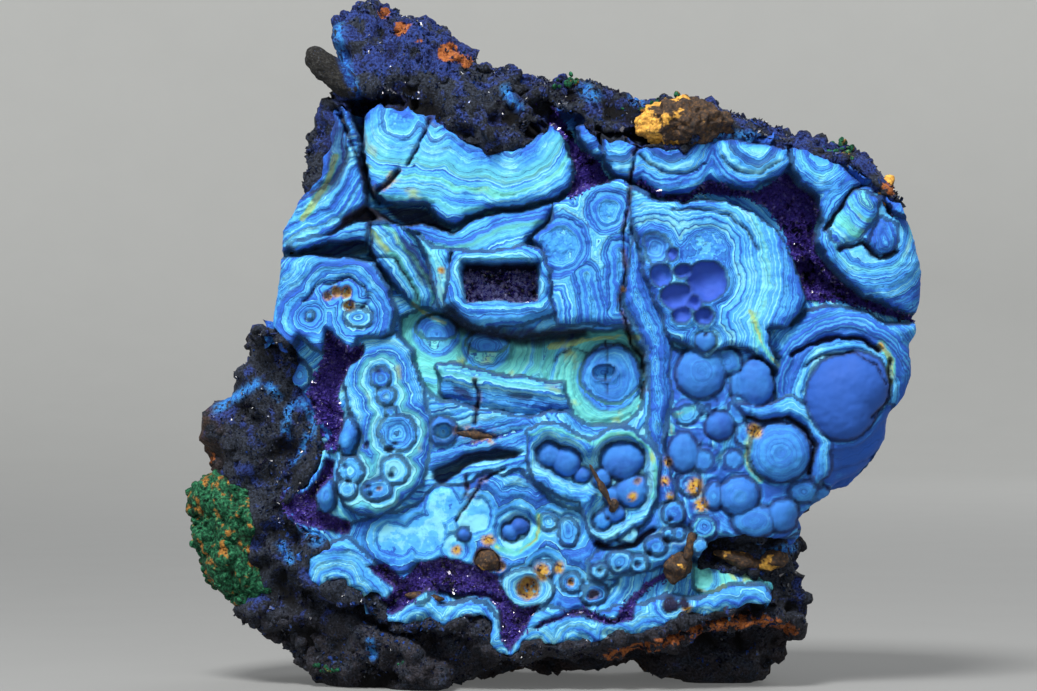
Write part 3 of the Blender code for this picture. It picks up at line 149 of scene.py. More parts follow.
PANELS = [
    FacePanel("ground", 0, (0, 0), .2, 1.1, .3, .12, [[(84, 91), (90, 89.4), (97, 88), (105, 86)],
        (120, 80, 4), (134, 90, 2), (112, 112, 2)], None),
    FacePanel("flank", -7, (.4, 0), 0, 2, .9, 0, [(50, 100, 1)], [(32, 76), (45, 62), (56, 68), (62, 74),
        (63, 84), (62, 92), (56, 99), (56, 104), (61, 109), (61, 119), (70, 124), (80, 128), (90, 134),
        (90, 145), (32, 145)]),
    FacePanel("crest", -1, (0, .3), 0, 2, .9, 0, [(80, 15, 1)], [(58, 4), (75, -4), (95, 3), (112, 10),
        (112, 21), (104, 29), (98, 30), (90, 24.5), (83, 21), (76, 19), (68, 20), (60, 16)]),
    FacePanel("upper_rim", -1, (0, .3), 0, 2, .9, 0, [(150, 20, 1)], [(108, 10), (150, 16), (192, 28),
        (196, 46), (181, 45), (175, 38), (165, 30), (150, 28), (120, 26), (110, 22)]),
    FacePanel("lower_recess", -7, (0, 0), 0, 2, .9, 0, [(150, 115, 1)], [(138, 109), (168, 108), (168, 130),
        (155, 122), (146, 117), (140, 118)]),
    FacePanel("sage_shelf", -3.4, (0, .3), .25, .8, .3, .85, [(140.6, 115.5, 1.8)], [(138.6, 112.6),
        (143.6, 112.8), (149, 113.6), (153.8, 114.4), (156.6, 116), (156, 118.8), (150, 117.6),
        (146, 118.6), (141, 119.2), (138.6, 117.6)]),
    FacePanel("underside", -16, (0, 0), 0, 2, .9, 0, [(120, 140, 1)], [(93, 137), (99, 134.4), (104, 133.4),
        (120, 132.5), (128, 131), (135, 129.5), (145, 126), (155, 124), (168, 126), (168, 146), (91, 146)]),
    FacePanel("lower_strip", -2, (0, 0), 0, 2, .9, 0, [(145, 126, 1)], [(128, 130.8), (130, 127.5),
        (142, 125), (153, 122), (158, 121), (161, 124), (160, 127), (155, 125), (145, 127), (136, 130)]),
    FacePanel("left_wing", -1, (.25, -.02), .1, 1.5, .42, .15, [[(72.5, 36), (68, 43.5), (56, 49)]],
        [(64, 19), (69, 20), (71.5, 27), (72.2, 33), (73, 38), (73, 41), (68, 46), (60, 49.5), (55, 50.5),
        (44, 50), (50, 38), (54, 30), (58, 20)]),
    FacePanel("wing_shadow", -3, (.2, 0), .3, 1, .9, 0, [[(70, 22), (70, 33), (63, 41)]], [(60, 21),
        (67.5, 21), (69.5, 26), (69, 32), (66.5, 36), (60, 39.5), (56, 39)]),
    FacePanel("festoon", 2.6, (0, .04), .3, .8, .2, .25, [(80.2, 24, 2.4), [(84, 24), (87, 27), (90, 25.5),
        (94, 29), (98, 28), (102, 30), (105.5, 28), (108, 24)]], [(73, 22), (78, 20), (83.5, 21),
        (89.5, 23.5), (93.5, 27), (98, 29.5), (104.5, 28.5), (109.5, 24), (113, 27), (115, 32.5),
        (114, 37.5), (110.5, 39.8), (105, 41.2), (99, 41.4), (95, 43), (91, 45), (88, 43.5), (85, 41),
        (80, 40.4), (76.5, 40), (74, 38), (73, 34), (72.2, 29)]),
    FacePanel("lower_sheet", -.6, (0, .05), .15, .9, .25, .3, [[(76, 42), (84, 43), (91, 45), (99, 41),
        (110, 39)]], [(73.5, 41.5), (79, 45.2), (84, 44), (90.5, 46.5), (95, 44), (99.5, 42.2), (105, 42),
        (110.8, 40.4), (109.5, 43.5), (106, 47.5), (104.5, 50), (97, 51), (90.5, 50.5), (87, 49.5),
        (83, 47), (78, 45.8), (75, 44)]),
    FacePanel("mid_left", -.2, (.05, 0), .15, 1, .35, .1, [[(58, 52), (67, 47.5), (76, 46)]], [(66, 46.5),
        (70, 44.2), (74.5, 44.2), (79, 44.7), (79, 48), (73.5, 48.2), (66, 48.4), (59, 50.4), (57, 48.8),
        (60, 48)]),
    FacePanel("fan", -1.2, (-.08, -.15), .35, .7, .5, .35, [[(72, 50), (77, 55), (80, 60)]], [(73.3, 44.6),
        (78.5, 44.6), (83.6, 46.5), (86, 52), (87.8, 58), (86.8, 62), (82.5, 61), (79, 57), (75, 52.5),
        (73.2, 49)]),
    FacePanel("fan_pillar", .8, (0, 0), .3, .6, .2, .45, [[(84, 45), (88, 53), (90, 62)]], [(82.5, 46),
        (86.5, 49), (90.2, 50), (90, 57), (90.5, 61), (88, 62), (87, 57), (85.5, 51)]),
    FacePanel("ring_terrace", 1.6, (.05, .03), .16, .9, .12, .05, [(69.7, 58.7, 1.2), (70.3, 61.2, 1.2),
        (66.5, 58.7, 1), (71.7, 63.4, 2.6), (62.2, 63.3, 1.1)], [(50, 51.5), (63, 50.9), (70, 51.5),
        (74.5, 52.5), (77.5, 57), (79, 62), (78.3, 66.5), (72, 69), (69.8, 71), (67, 68), (66, 66.5),
        (64.5, 70.5), (62, 69.5), (60, 67.5), (57, 70.5), (54.5, 67.5), (44, 66), (44, 52)]),
    FacePanel("pocket_housing", 2.2, (0, -.05), .3, .8, .35, .25, [[(94, 54), (104, 53.5), (106, 57),
        (95, 57.5), (94, 54)]], [(90.6, 50), (98, 50.3), (104.5, 49), (108, 49.6), (110.5, 54), (110, 59),
        (112, 62), (105, 65), (97, 65.5), (92, 63.5), (88.5, 60.5), (89.6, 55)]),
    FacePanel("folds", .6, (0, 0), .22, .9, .58, .2, [(111.6, 49, 3.4), (121.5, 42, 1.6), [(117, 55),
        (119, 64)], [(124, 50), (124, 62)]], [(110.5, 40.5), (114.5, 38.5), (118, 37), (124.5, 35.5),
        (130.5, 38.5), (126.5, 46), (125.5, 55), (124.6, 60), (126.6, 65.5), (119, 64.5), (112, 65),
        (110, 60.5), (110, 54), (108, 50), (106, 48), (110, 43.5)]),
    FacePanel("recess", -7, (0, .16), .03, 2.5, .3, .78, [(87.1, 66.8, 3), (97, 69.5, 3), (122, 75.6, 5)],
        [(79.5, 63.5), (84, 61.5), (88.5, 62.5), (92, 65), (98, 66.5), (104, 67.5), (110, 66.5),
        (118, 65.8), (126, 66), (128.8, 70), (129.3, 76), (128.5, 82), (124, 85), (118, 85), (113, 82),
        (98, 78), (88, 80), (83.5, 77), (82, 72.5), (80, 68)]),
    FacePanel("block", -2.2, (0, -.05), .45, .8, .35, .1, [[(89, 74), (100, 75.5), (112, 77.5)]],
        [(86.5, 73), (89.5, 72.5), (94, 73.6), (102.5, 75.3), (108, 75.9), (112.6, 76.4), (112.9, 78.7),
        (114.8, 82.6), (110.3, 82.3), (105.8, 83.7), (101.3, 82.9), (95.2, 81.8), (87.9, 79), (87.6, 75.9)]),
    FacePanel("cluster_left", 1.8, (-.02, .03), .25, .9, .02, .1, [(76.1, 75.3, 2.3), (77.3, 79, 2),
        (78.1, 82.1, 1.2), (79.5, 86.7, 3.6), (70.3, 94, 2), (69.7, 97.4, 1.8), (78.9, 94, 2.4),
        (76.1, 98, 2.2)], [(71.5, 67.5), (76, 67.5), (79, 66.5), (82, 70), (84.5, 78), (86, 84.5),
        (86.5, 88), (85.5, 92), (84.5, 96.5), (81.5, 99.5), (77, 103), (72, 103), (69, 101), (67.5, 97),
        (67.5, 94), (68.5, 91.5), (71.5, 91.5), (72.5, 88), (70, 84), (69, 80), (68.3, 76), (69, 71.5)]),
    FacePanel("pool", -1.2, (0, -.03), .1, 1.8, .5, .05, [(88.5, 101, 3), (94.5, 103, 3), (85, 107, 3.4),
        (91, 110, 2), (79, 108, 3), (103, 106, 3.5), (110, 104.5, 1.2), (114, 106, 2), (109, 114, 2),
        (105.5, 118, 2.5), (114.5, 116.7, .8)], [(83, 101), (87, 97), (93, 97), (97, 94.5), (101, 95.5),
        (104, 93.5), (107, 97), (112, 101), (118, 103), (122, 105.5), (124, 110), (124, 116), (120, 120),
        (115, 123), (108, 124), (100, 116), (93, 117), (88, 116), (84, 113), (80, 116), (77, 114),
        (73, 112), (69, 110), (68, 106), (73, 103.5), (79, 102.5)]),
    FacePanel("lump_rings", 1.2, (0, 0), -.25, .8, .15, .2, [(109.8, 91, 2.4), (113.1, 92.4, 2.9),
        (116.2, 95, 1.5), (124.4, 92, 4.2), (126.5, 98.3, 3.5), (120.4, 95.8, 2), (122.8, 102.5, 2.2),
        (120.8, 104.2, 1.8)], [(105.3, 86), (109, 84.5), (114, 85.5), (118, 88), (122, 85.5), (126, 85.5),
        (129.8, 88.5), (131.8, 92), (132.3, 97), (131, 101.5), (128.5, 104.5), (124.5, 107.5), (121, 108.5),
        (118, 107), (116.5, 103), (116, 100.5), (112, 99.5), (107.5, 96.5), (105, 92)]),
    FacePanel("column", .3, (0, 0), .3, .7, .5, .1, [[(126, 46), (127, 58), (131, 68), (131.5, 84),
        (134, 100)]], [(126.5, 46), (128.5, 54), (131, 60), (134, 66), (134.5, 76), (133.5, 84),
        (132.5, 88), (135.5, 98), (134.5, 104), (131.5, 101), (132, 92), (129.5, 86), (130, 80),
        (129.5, 70), (126.5, 64), (124.8, 60), (125.5, 54)]),
    FacePanel("sweep", 2.8, (0, 0), .2, .75, .3, .18, [(141.3, 56.2, 4.6), (132.1, 55, 2.8),
        (135.2, 59.3, 3.4), (134.4, 50.8, 1.6), (136.2, 63, 2.2), (140.6, 63.2, 2.2), (140.9, 68.2, 3),
        (130.8, 49.6, 3.8), (141, 50.8, 4.2)], [(126.2, 37.4), (131.2, 39.7), (136.9, 41), (139.7, 39.9),
        (145.3, 40.2), (150.9, 42.5), (155.1, 45.8), (158.8, 51.7), (161, 57.3), (161.6, 60.5),
        (158.3, 64.5), (157, 66.5), (154.5, 66), (155.6, 74.2), (152, 71.5), (146, 69.5), (141, 71.5),
        (137, 69), (134, 68), (131, 60), (128.5, 54), (127, 47), (126, 42)]),
    FacePanel("dome_field", -.6, (0, 0), .05, 2, .8, 0, [(140.2, 74.4, 4), (151.1, 76.4, 3),
        (155.9, 90.4, 6), (148, 99, 3.5)], [(133.8, 70), (137, 70), (141, 71.8), (146, 70), (150, 70),
        (153.5, 74.5), (155, 80.5), (157, 81.5), (162, 83), (164.5, 87), (165, 92), (165, 97), (166, 101),
        (163, 106), (158, 108), (150, 109), (145, 107.5), (141, 108.5), (136, 104.5), (135.5, 98),
        (133, 90), (134.3, 80)]),
    FacePanel("small_domes", .2, (0, 0), .3, .8, .1, .1, [(134.8, 102.8, 2.2), (141, 105.3, 2.6),
        (135.7, 106.7, 1.4), (133.7, 106.7, 1.2), (140.2, 109.2, 1.6), (131.2, 109, 2), (123.9, 112.3, 2.6),
        (127.8, 112.7, 1.8), (119.8, 114.2, 1.6)], [(131, 101.5), (134, 100.5), (136, 104.5), (141, 108.5),
        (142.5, 109.5), (140, 112.5), (137, 110), (133, 113), (128, 114.5), (122, 116), (118, 116.5),
        (117.5, 112), (121, 108.8), (124.5, 107.5), (128.5, 104.5)]),
    FacePanel("big_dome_ledge", .8, (.03, 0), .35, 1.1, .45, 0, [(169.4, 78.6, 8.4)], [(153.4, 66),
        (158.5, 65), (161.8, 62), (165.5, 60.8), (170, 61.8), (174.5, 62.9), (177.8, 64.4), (198, 65),
        (198, 84), (188, 90), (182, 96), (175, 100), (168.9, 98), (164.6, 97.5), (165.2, 92.5),
        (165.2, 86.9), (164.4, 84), (161.8, 82), (157.6, 81), (154.8, 80.4), (154.8, 75.7), (156.2, 71.5),
        (154.8, 69.5)]),
    FacePanel("big_dome_skirt", -.4, (-.2, -.15), .3, 2.4, .85, 0, [[(165.8, 87), (171, 85.6), (176, 81)]],
        [(165.6, 86.4), (170, 86), (175.4, 81), (179, 81), (178, 88), (174, 94), (169, 100), (165, 102),
        (164.6, 94)]),
    FacePanel("collar", 1.6, (0, 0), .4, .6, .1, .1, [[(148, 81.6), (152.6, 82.4), (157.5, 80.8),
        (162.4, 83.4), (165, 88.6), (164.2, 95.4)]], [(146.6, 80.2), (152, 80.9), (157.6, 78.9),
        (163, 81.6), (166.6, 88), (166, 95), (163, 97.4), (161.6, 94), (163.4, 89.4), (160.8, 85.4),
        (157.4, 83.2), (153, 84.2), (149, 83.2)]),
    FacePanel("right_lumps", .6, (-.12, 0), .32, .8, .32, .12, [(174.6, 46.4, 6.2), (164, 31, 2)],
        [(158.1, 29), (165.3, 29.6), (171, 35), (175.7, 38), (178, 42), (183, 44), (198, 47), (198, 62.6),
        (183.9, 63), (178.4, 61.2), (172.9, 59.2), (168.8, 55.7), (165.7, 52.6), (163.6, 48.5),
        (163.3, 46.1), (164.3, 44.4), (163.6, 39.5), (160.5, 36.8), (158.1, 33.7)]),
    FacePanel("chunk", 2.2, (.05, 0), .2, .9, .1, .4, [[(172, 38), (173.4, 41)]], [(165.3, 45.4),
        (168, 41.5), (171.2, 37.5), (175.7, 39.2), (175.2, 43), (171.5, 47.8), (168.4, 49), (166.4, 47.6)]),
    FacePanel("chip", 1.2, (0, 0), .25, 1, .75, 0, [[(176, 45), (177, 49)]], [(176, 42.6), (179.5, 45),
        (179.8, 47.8), (178.8, 50.9), (176, 51.2), (173.6, 49.5), (174, 46.4)]),
    FacePanel("top_bowls", .4, (0, -.03), .3, .8, .26, .1, [(134, 26.5, 3.4), (151, 27.5, 3), (124, 28, 2)],
        [(120.4, 27), (127.3, 28), (137.2, 29), (138.7, 27), (145.6, 27.6), (157.8, 29), (158.1, 32.7),
        (157, 34.4), (150.9, 37.7), (145.7, 37), (142, 36), (138, 39), (132.6, 39), (128, 36.5),
        (123.4, 35), (121.1, 32.6)]),
    FacePanel("top_knob", 1.8, (0, 0), .3, 1.2, .55, 0, [(117, 26, 1)], [(115.6, 24.5), (118.2, 23.6),
        (119.5, 27), (121.3, 31), (118.6, 31), (116, 28)]),
    FacePanel("bottom_scallops", .8, (0, 0), .3, .8, .22, 0, GRAINS, [(60, 110), (65, 108.5), (70, 107.5),
        (74, 111.5), (77, 115), (83, 114), (86.5, 118), (88, 121), (92, 120), (97, 120.5), (100, 123.5),
        (101.5, 128), (104, 123.5), (110, 121.5), (118, 123.5), (124, 121), (128, 121), (133, 119),
        (139, 119.5), (146, 117), (153, 117), (156, 121), (146, 123), (133, 127), (119, 130), (102, 133),
        (96, 131), (92, 126), (80, 127), (72, 122), (60, 118)]),
]
HOLLOWS = [
    Hollow("gap_under_festoon", -5, .95, 0, [(76.2, 40.4), (82.9, 41.2), (85.1, 41.6), (88.2, 44),
        (91, 45.5), (89, 46.4), (84.5, 44.4), (82, 45.2), (79.5, 44.4), (77, 42)]),
    Hollow("gap_brown", -6, .9, .5, [(72.8, 40.9), (74.5, 41.6), (78.7, 44.4), (74.5, 44.2), (70.3, 44.2),
        (65.5, 46.8), (68, 43.8), (70.5, 42)]),
    Hollow("gap_blue", -5, .8, 0, [(57.6, 48.9), (59.3, 50.4), (66, 48.6), (71.7, 47.7), (73.1, 48.4),
        (73.1, 50.6), (70.3, 51.3), (67.7, 50.9), (60.4, 51)]),
    Hollow("gap_wing", -3.4, .7, 0, [(66.4, 22), (69, 26), (69.8, 32), (67.4, 37.4), (62.6, 41),
        (61.6, 38.6), (64.6, 34), (66, 28)]),
    Hollow("gap_fan", -3.4, .7, 0, [(79.5, 46.5), (83, 48.5), (86, 54), (87.6, 58.6), (84.5, 57),
        (82, 52.5)]),
    Hollow("gap_long", -5, .85, 0, [(85.9, 93.6), (89.8, 92.2), (93.2, 90.2), (95.7, 89.9), (99.7, 89.3),
        (104.2, 90.5), (103, 91.9), (96.9, 92.2), (93.5, 93.3), (91.8, 94.7), (88.1, 97.2), (86.5, 96.1)]),
    Hollow("gap_block_a", -3.8, .8, 0, [(90.2, 76.6), (93, 77.6), (95.2, 79.8), (93.5, 80), (90.5, 78.2)]),
    Hollow("gap_block_b", -3.8, .8, 0, [(100.5, 78.6), (104, 78.4), (107.5, 79.4), (106, 80.4),
        (102.5, 79.9)]),
    Hollow("valley_right", -5.6, 1, 0, [(151.9, 38.2), (157.8, 34), (160.2, 36.8), (163.3, 39.2),
        (164.3, 42.3), (163.3, 45.7), (163.6, 49.9), (166, 53.3), (168.8, 56.1), (172.9, 59.5),
        (178.4, 61.6), (184, 63.2), (184, 64.4), (175, 62), (168.1, 59.9), (161.9, 60.2), (160.5, 55),
        (158.8, 49.9), (157.1, 45.7), (154.3, 41.3), (150, 39.2), (145, 38.6), (140, 38.2), (137.5, 40),
        (134, 40), (131, 38.3), (127, 36.6), (128, 35.8), (133, 39), (138, 38.6), (142, 35.6), (147, 37.4)]),
    Hollow("valley_right_deep", -13, 1, 0, [(159.6, 52), (162.4, 50.6), (165.4, 54.6), (168.4, 57.4),
        (167.6, 58.8), (162.4, 58.8), (160.6, 55.4)]),
    Hollow("valley_top", -5, .95, 0, [(106.6, 18.8), (110, 20.5), (113, 24), (115.5, 28.6), (119.6, 31.8),
        (122, 36), (118.5, 37), (116, 39), (113.8, 39.7), (115.2, 34), (114.2, 29), (110, 24.4), (107, 22)]),
    Hollow("valley_left", -7, 1, 0, [(65.4, 65.8), (70, 69.6), (72.7, 68.6), (72.4, 71.4), (69.7, 73.2),
        (68.4, 76.2), (67.5, 79.3), (68.4, 83), (68.1, 86), (67, 90), (64, 90), (63.5, 84.8), (62.3, 81.1),
        (61.1, 78.7), (63, 75), (64.5, 71), (65, 68)]),
    Hollow("hole_left", -7, 1, 0, [(56.5, 100.2), (60.4, 98.9), (63.2, 96.3), (64.8, 91.8), (66.8, 92.4),
        (66.6, 95.7), (63, 99.4), (63.4, 102.2), (66.8, 103.4), (70, 104.7), (69.7, 107.2), (64.8, 106.4),
        (58.4, 104.4), (55.9, 102.1)]),
    Hollow("channel_mid", -3.5, 1, 0, [(73, 113.5), (77, 113), (81, 115.5), (84.5, 112.5), (89, 111.6),
        (94, 113), (99.5, 115.5), (101, 119), (104, 122), (108, 121), (105.5, 124.5), (103.5, 128.5),
        (101.5, 131), (100, 127.5), (99.8, 122.5), (97.5, 119.8), (92, 119.5), (86, 118.4), (82, 121),
        (78, 123.6), (75.5, 120.5), (79, 118), (76, 116)]),
    Hollow("channel_low", -3, .9, 0, [(106.5, 125), (110, 123.8), (113.6, 122.5), (117.4, 122),
        (120, 123.5), (123, 123.6), (124.8, 121.6), (127.5, 118.4), (130.5, 115.6), (133, 114.4),
        (133.4, 115.6), (130, 117.6), (127.6, 120.6), (126.6, 124.2), (123, 124.8), (119.6, 124.9),
        (117, 123.3), (113.4, 123.7), (110, 124.9), (107, 126)]),
]
BASINS = [
    Basin("lump_basin", -1.4, [(106.8, 89.5), (109.5, 87.4), (113, 88.8), (117, 91), (120, 90), (121.6, 88),
        (125, 87.3), (128.3, 89), (129.4, 92.5), (129, 97), (130.2, 100), (128.5, 102.6), (125, 104.6),
        (121, 106.8), (118.6, 105.6), (118, 102), (119, 98.6), (115.5, 97.4), (111, 95.6), (107.6, 93)]),
    Basin("blue_bowl", -2.6, [(99.6, 107.6), (100.6, 104.6), (103.4, 102.6), (106.4, 103.2), (107, 105.4),
        (105, 108), (102, 109.2)]),
]
MOUNDS = [Mound(*row) for row in (
    (141.3, 56.2, 4.1, 4.1, -2.6, 1), (132.1, 55, 2.4, 2.4, -1.8, 1), (135.2, 59.3, 3.2, 2.7, -2, 1),
    (134.4, 50.8, 1.3, 1.5, -1.2, 1), (138.6, 60.6, 1.7, 1.5, -1.6, 1), (136.2, 63, 1.9, 1.8, -1.5, 1),
    (140.6, 63.2, 2, 1.8, -1.6, 1), (136.6, 54.2, 1.8, 1.4, -1.8, 1), (130.6, 49.6, 3.7, 3.4, -.8, .7),
    (140.9, 68.2, 2.1, 2, 1, .9), (140.2, 74.4, 5, 5.2, 3, 1), (145.4, 72.4, 3, 2.6, 1.6, .95),
    (151.1, 76.4, 3.7, 4.6, 2.4, .95), (147.5, 76.8, 2, 2.6, 1, .8), (144, 85.1, 2.8, 2.8, 2.4, 1),
    (136.8, 90.4, 2.9, 4.2, 1.8, .9), (155.9, 90.4, 6.3, 6.1, 4.6, .8), (148, 99.1, 4, 4, 3.4, .85),
    (143, 99.1, 2, 2.8, 1.8, .9), (151.1, 104.2, 4.8, 3.4, 2.6, .85), (156.8, 103.1, 3.3, 3.4, 2.6, .85),
    (137.5, 82.5, 2.8, 2.6, .8, .7), (141.5, 81, 2, 2, .6, .7), (147.6, 82, 2.2, 3.2, .9, .7),
    (149, 87, 2, 2.4, .8, .7), (141, 92, 2.6, 2.8, .9, .75), (146.5, 92, 2.2, 2.2, .8, .75),
    (138, 97, 2.2, 2.4, .7, .7), (160.8, 98.4, 3, 2.4, 1.4, .85), (164.5, 99.5, 2.4, 2.2, 1.2, .85),
    (168.6, 79.4, 7.6, 8.6, 3.9, 1.4), (171.6, 77, 6.6, 6.6, 3.9, 1.4), (134.8, 102.8, 2.4, 2.2, 1.3, .62),
    (141, 105.3, 2.7, 2.5, 1.3, .52), (135.7, 106.7, 1.5, 1.4, 1.1, .6), (133.6, 106.8, 1.3, 1.3, 1.1, .6),
    (140.2, 109.2, 1.7, 1.7, 1.6, .62), (131.2, 109.2, 2.2, 1.9, 1.5, .5),
    (123.9, 112.3, 2.7, 2.4, 1.6, .45), (127.8, 112.7, 1.9, 1.7, 1.4, .45),
    (119.8, 114.2, 1.7, 1.7, 1.2, .45), (109.8, 91, 2.6, 2.6, 2.2, 1), (113.1, 92.4, 3, 2.9, 2.4, 1),
    (116.4, 95, 1.7, 1.5, 1.4, 1), (124.4, 92, 4.3, 3.7, 2.6, 1), (126.5, 98.3, 3.5, 3.3, 2.2, 1),
    (120.4, 95.8, 1.9, 1.9, 1.8, 1), (122.6, 99.2, 1.8, 1.8, 1.4, .9), (122.8, 102.7, 2.2, 1.9, 1.6, .9),
    (120.4, 104.2, 1.9, 1.8, 1.6, .9), (125.9, 107.3, 2.2, 2, 1.4, .2), (71.9, 63.5, 2.7, 1.9, .9, .55),
    (62.2, 63.3, .9, .9, .6, .5), (76.1, 75.3, 2.3, 2.1, .8, .5), (77.3, 79, 2, 1.8, .8, .5),
    (78.1, 82.1, 1.3, 1.1, .6, .5), (79.5, 86.7, 3.9, 3.9, .9, .45), (79.2, 86.6, 1.7, 1.7, .9, .6),
    (70.3, 94, 2.5, 2.6, 1.4, .3), (69.7, 97.6, 2.1, 2.2, 1.2, .3), (78.9, 94, 3, 2.8, 1, .3),
    (75.6, 98, 3, 2.4, 1, .4), (88.6, 86.3, 3, 3, 2, .8), (88.6, 86.3, 1.9, 1.7, -2.2, .3),
    (59.6, 75.2, 2.4, 3, 1.6, .5), (66, 88.2, 1.7, 2.4, 3, .5), (65.1, 99.2, 2.1, 3.6, 5, .75),
    (69.6, 87.4, 2, 4, 4, .75), (87.1, 66.9, 4.4, 4, .5, .45), (97.4, 69.4, 4.6, 3.4, .5, .5),
    (122.2, 75.6, 6.2, 6.8, 1.6, .62), (121, 74.6, 2.4, 1.5, -.9, .3), (102, 106.5, 1.8, 1.8, 2.2, 1.2),
    (103.9, 105.4, 1.8, 1.8, 2.4, 1.2), (92.8, 107, 1.3, 1.3, 1.8, 1.2), (109.5, 104.3, 2, 2, .6, .4),
    (113.6, 106.4, 2.2, 3.2, .7, .4), (105.5, 117.8, 5.4, 4.2, 1, .15), (114.4, 116.7, 2.2, 2, .9, .2),
    (118.6, 118.9, 2.8, 2.4, .9, .25), (108.8, 113.8, 2.4, 1.8, .9, .2), (93.5, 116.2, 2.6, 2.2, 2.2, .45),
    (84.2, 119.6, 1.8, 1.6, 1.2, .5), (101.6, 124.6, 1.8, 1.8, 1.6, .5), (88.5, 115.4, 3, 2, .9, .2)
)]
COBBLED = {"dome_field": 5.6, "big_dome_skirt": 6.0, "small_domes": 3.4}    # sizes of the low domes on these
CRACKS = [
    Crack("main_crack", .38, 2.2, 1, .3, [(128.8, 28.4), (127, 30.7), (126.2, 36.6), (125.3, 44.4),
        (124.6, 50), (125, 54.3), (123.9, 60.4), (125.6, 65.2), (126.7, 68.9), (128.6, 71), (129.2, 76),
        (128.6, 80)]),
    Crack("festoon_crack", .5, 1.8, 1, .1, [(86.2, 23.8), (84, 28), (81.6, 33)]),
    Crack("festoon_crack_low", .7, 1.8, 1, .7, [(79.3, 34.5), (77.5, 36.6), (75.3, 38)]),
    Crack("crest_seam", .5, 1.6, .9, 0, [(72.3, 23), (72.6, 30), (73, 36.5), (75.5, 40.4)]),
    Crack("crest_seam_left", .5, 1.5, .9, 0, [(66.5, 20.5), (69, 25.5), (71.6, 32), (72.5, 36)]),
    Crack("fan_crack", .4, 1.2, 1, 0, [(73.6, 43.8), (74, 48), (73.4, 51), (79, 51.6), (83, 58), (84, 60.5)]),
    Crack("recess_crack_a", .28, .8, 1, 0, [(94.3, 67), (93.5, 71), (92.4, 73.6)]),
    Crack("recess_crack_b", .28, .8, 1, 0, [(110.8, 71.8), (114, 69), (118, 70.5), (124, 69), (127.6, 70.4)]),
    Crack("recess_crack_c", .25, .7, 1, 0, [(121.6, 68), (121.2, 76), (121.4, 82)]),
    Crack("block_crack", .5, 1.6, 1, .3, [(95, 76), (95.4, 80), (95.2, 85)]),
    Crack("needle_slot", .9, 1, .9, .7, [(91.6, 86.2), (95, 87), (98.8, 87.4)]),
    Crack("pool_crack", .45, 1.4, 1, .3, [(101, 94), (96, 96.6), (93.6, 100.5), (91, 104.5)]),
    Crack("pool_crack_b", .4, 1.4, 1, .3, [(93.2, 95.4), (93.2, 98.8)]),
    Crack("dome_arc", .6, 2.4, 1, 0, [(149.5, 83.2), (153.2, 84.2), (157.4, 83), (160.6, 85.4),
        (163.2, 89.6), (161.8, 94.6)]),
    Crack("big_dome_groove", .9, 3, 1, 0, [(158.7, 70.8), (162.3, 68.8), (167.3, 67.5), (172.6, 67.9),
        (175.5, 69.8)]),
    Crack("big_dome_side", .6, 2, .9, 0, [(178, 72), (178.4, 76.4), (176.8, 80.6), (174.4, 83)]),
    Crack("big_dome_rim", .4, 1.2, .9, 0, [(160.4, 73.6), (164.6, 70.8), (170.3, 70.6), (175.4, 73),
        (177.2, 77)]),
    Crack("chip_gap", .7, 2.4, 1, 0, [(164.6, 45.8), (168.4, 41), (171, 37.6), (173.4, 36.6)]),
    Crack("chip_gap_low", .7, 2.4, 1, 0, [(168, 49.6), (172.4, 48.6), (176, 52), (179.4, 50.6)]),
    Crack("ring_groove", .45, 1, .9, 0, [(60.6, 60.2), (64, 57), (67, 56.8), (70, 55.6), (73, 57.4),
        (73.8, 60.6), (72.6, 61.6)]),
    Crack("big_arc", .5, 1.2, .8, 0, [(134.6, 42.2), (140, 42), (145, 43), (149.2, 46), (151.6, 50.4)]),
    Crack("bowl_line_a", .4, 1, .8, 0, [(127.6, 31), (132, 34), (137, 34.6), (141, 32.6)]),
    Crack("bowl_line_b", .4, 1, .8, 0, [(144.4, 31.6), (147.4, 34), (152, 34.6), (156.6, 32)]),
    Crack("housing_shadow", 2.8, .8, .9, 0, [(89.6, 62.6), (93, 65), (98, 66.6), (104, 67.2), (111, 66.9),
        (117, 66.4)]),
    Crack("shelf_crack", .35, 1.2, 1, 0, [(141.8, 114.4), (145, 114.6), (149, 115.6), (153, 116.2)]),
    Crack("low_shadow", 1, 2.4, 1, 0, [(119.6, 109), (123, 109.6), (127, 108.8), (130.6, 105.6)]),
    Crack("low_step", 1, 2, .9, 0, [(100, 120.6), (97, 119), (91, 119.4), (88, 118.4)]),
]
PITS = [    # across, down, radius, rust
    (65.6, 59.2, 1, .8), (67.5, 58.4, 1.1, .9), (69.6, 58.5, 1.2, 1), (70.3, 61, 1.1, 1), (75.5, 74, .7, 0),
    (73.5, 89.1, .8, 0), (78.9, 88.8, .5, 0), (77.8, 90, .8, 0), (69.1, 93.1, .6, 0), (69.7, 95.8, .7, 0),
    (78.4, 94.6, .7, 0), (73.8, 97.4, .7, 0), (76.1, 97.7, .5, .6), (74.3, 98.9, .6, 0),
    (105.5, 117.9, 2.3, 1), (114.4, 116.7, .8, 1), (119.8, 114, .6, 0), (123.8, 113.6, .5, 0),
    (127.4, 112.7, .8, 0), (130, 110.6, .8, 0), (140.8, 66.9, .6, 0), (134, 103.9, .6, 0),
    (133.4, 107.8, .9, 0), (127.4, 96.4, .7, .6), (121.7, 103.8, .4, 0), (118.4, 119.2, 1.1, .4),
    (97.3, 112.4, 2.6, .7), (99.8, 113.6, 1.2, .9)
]
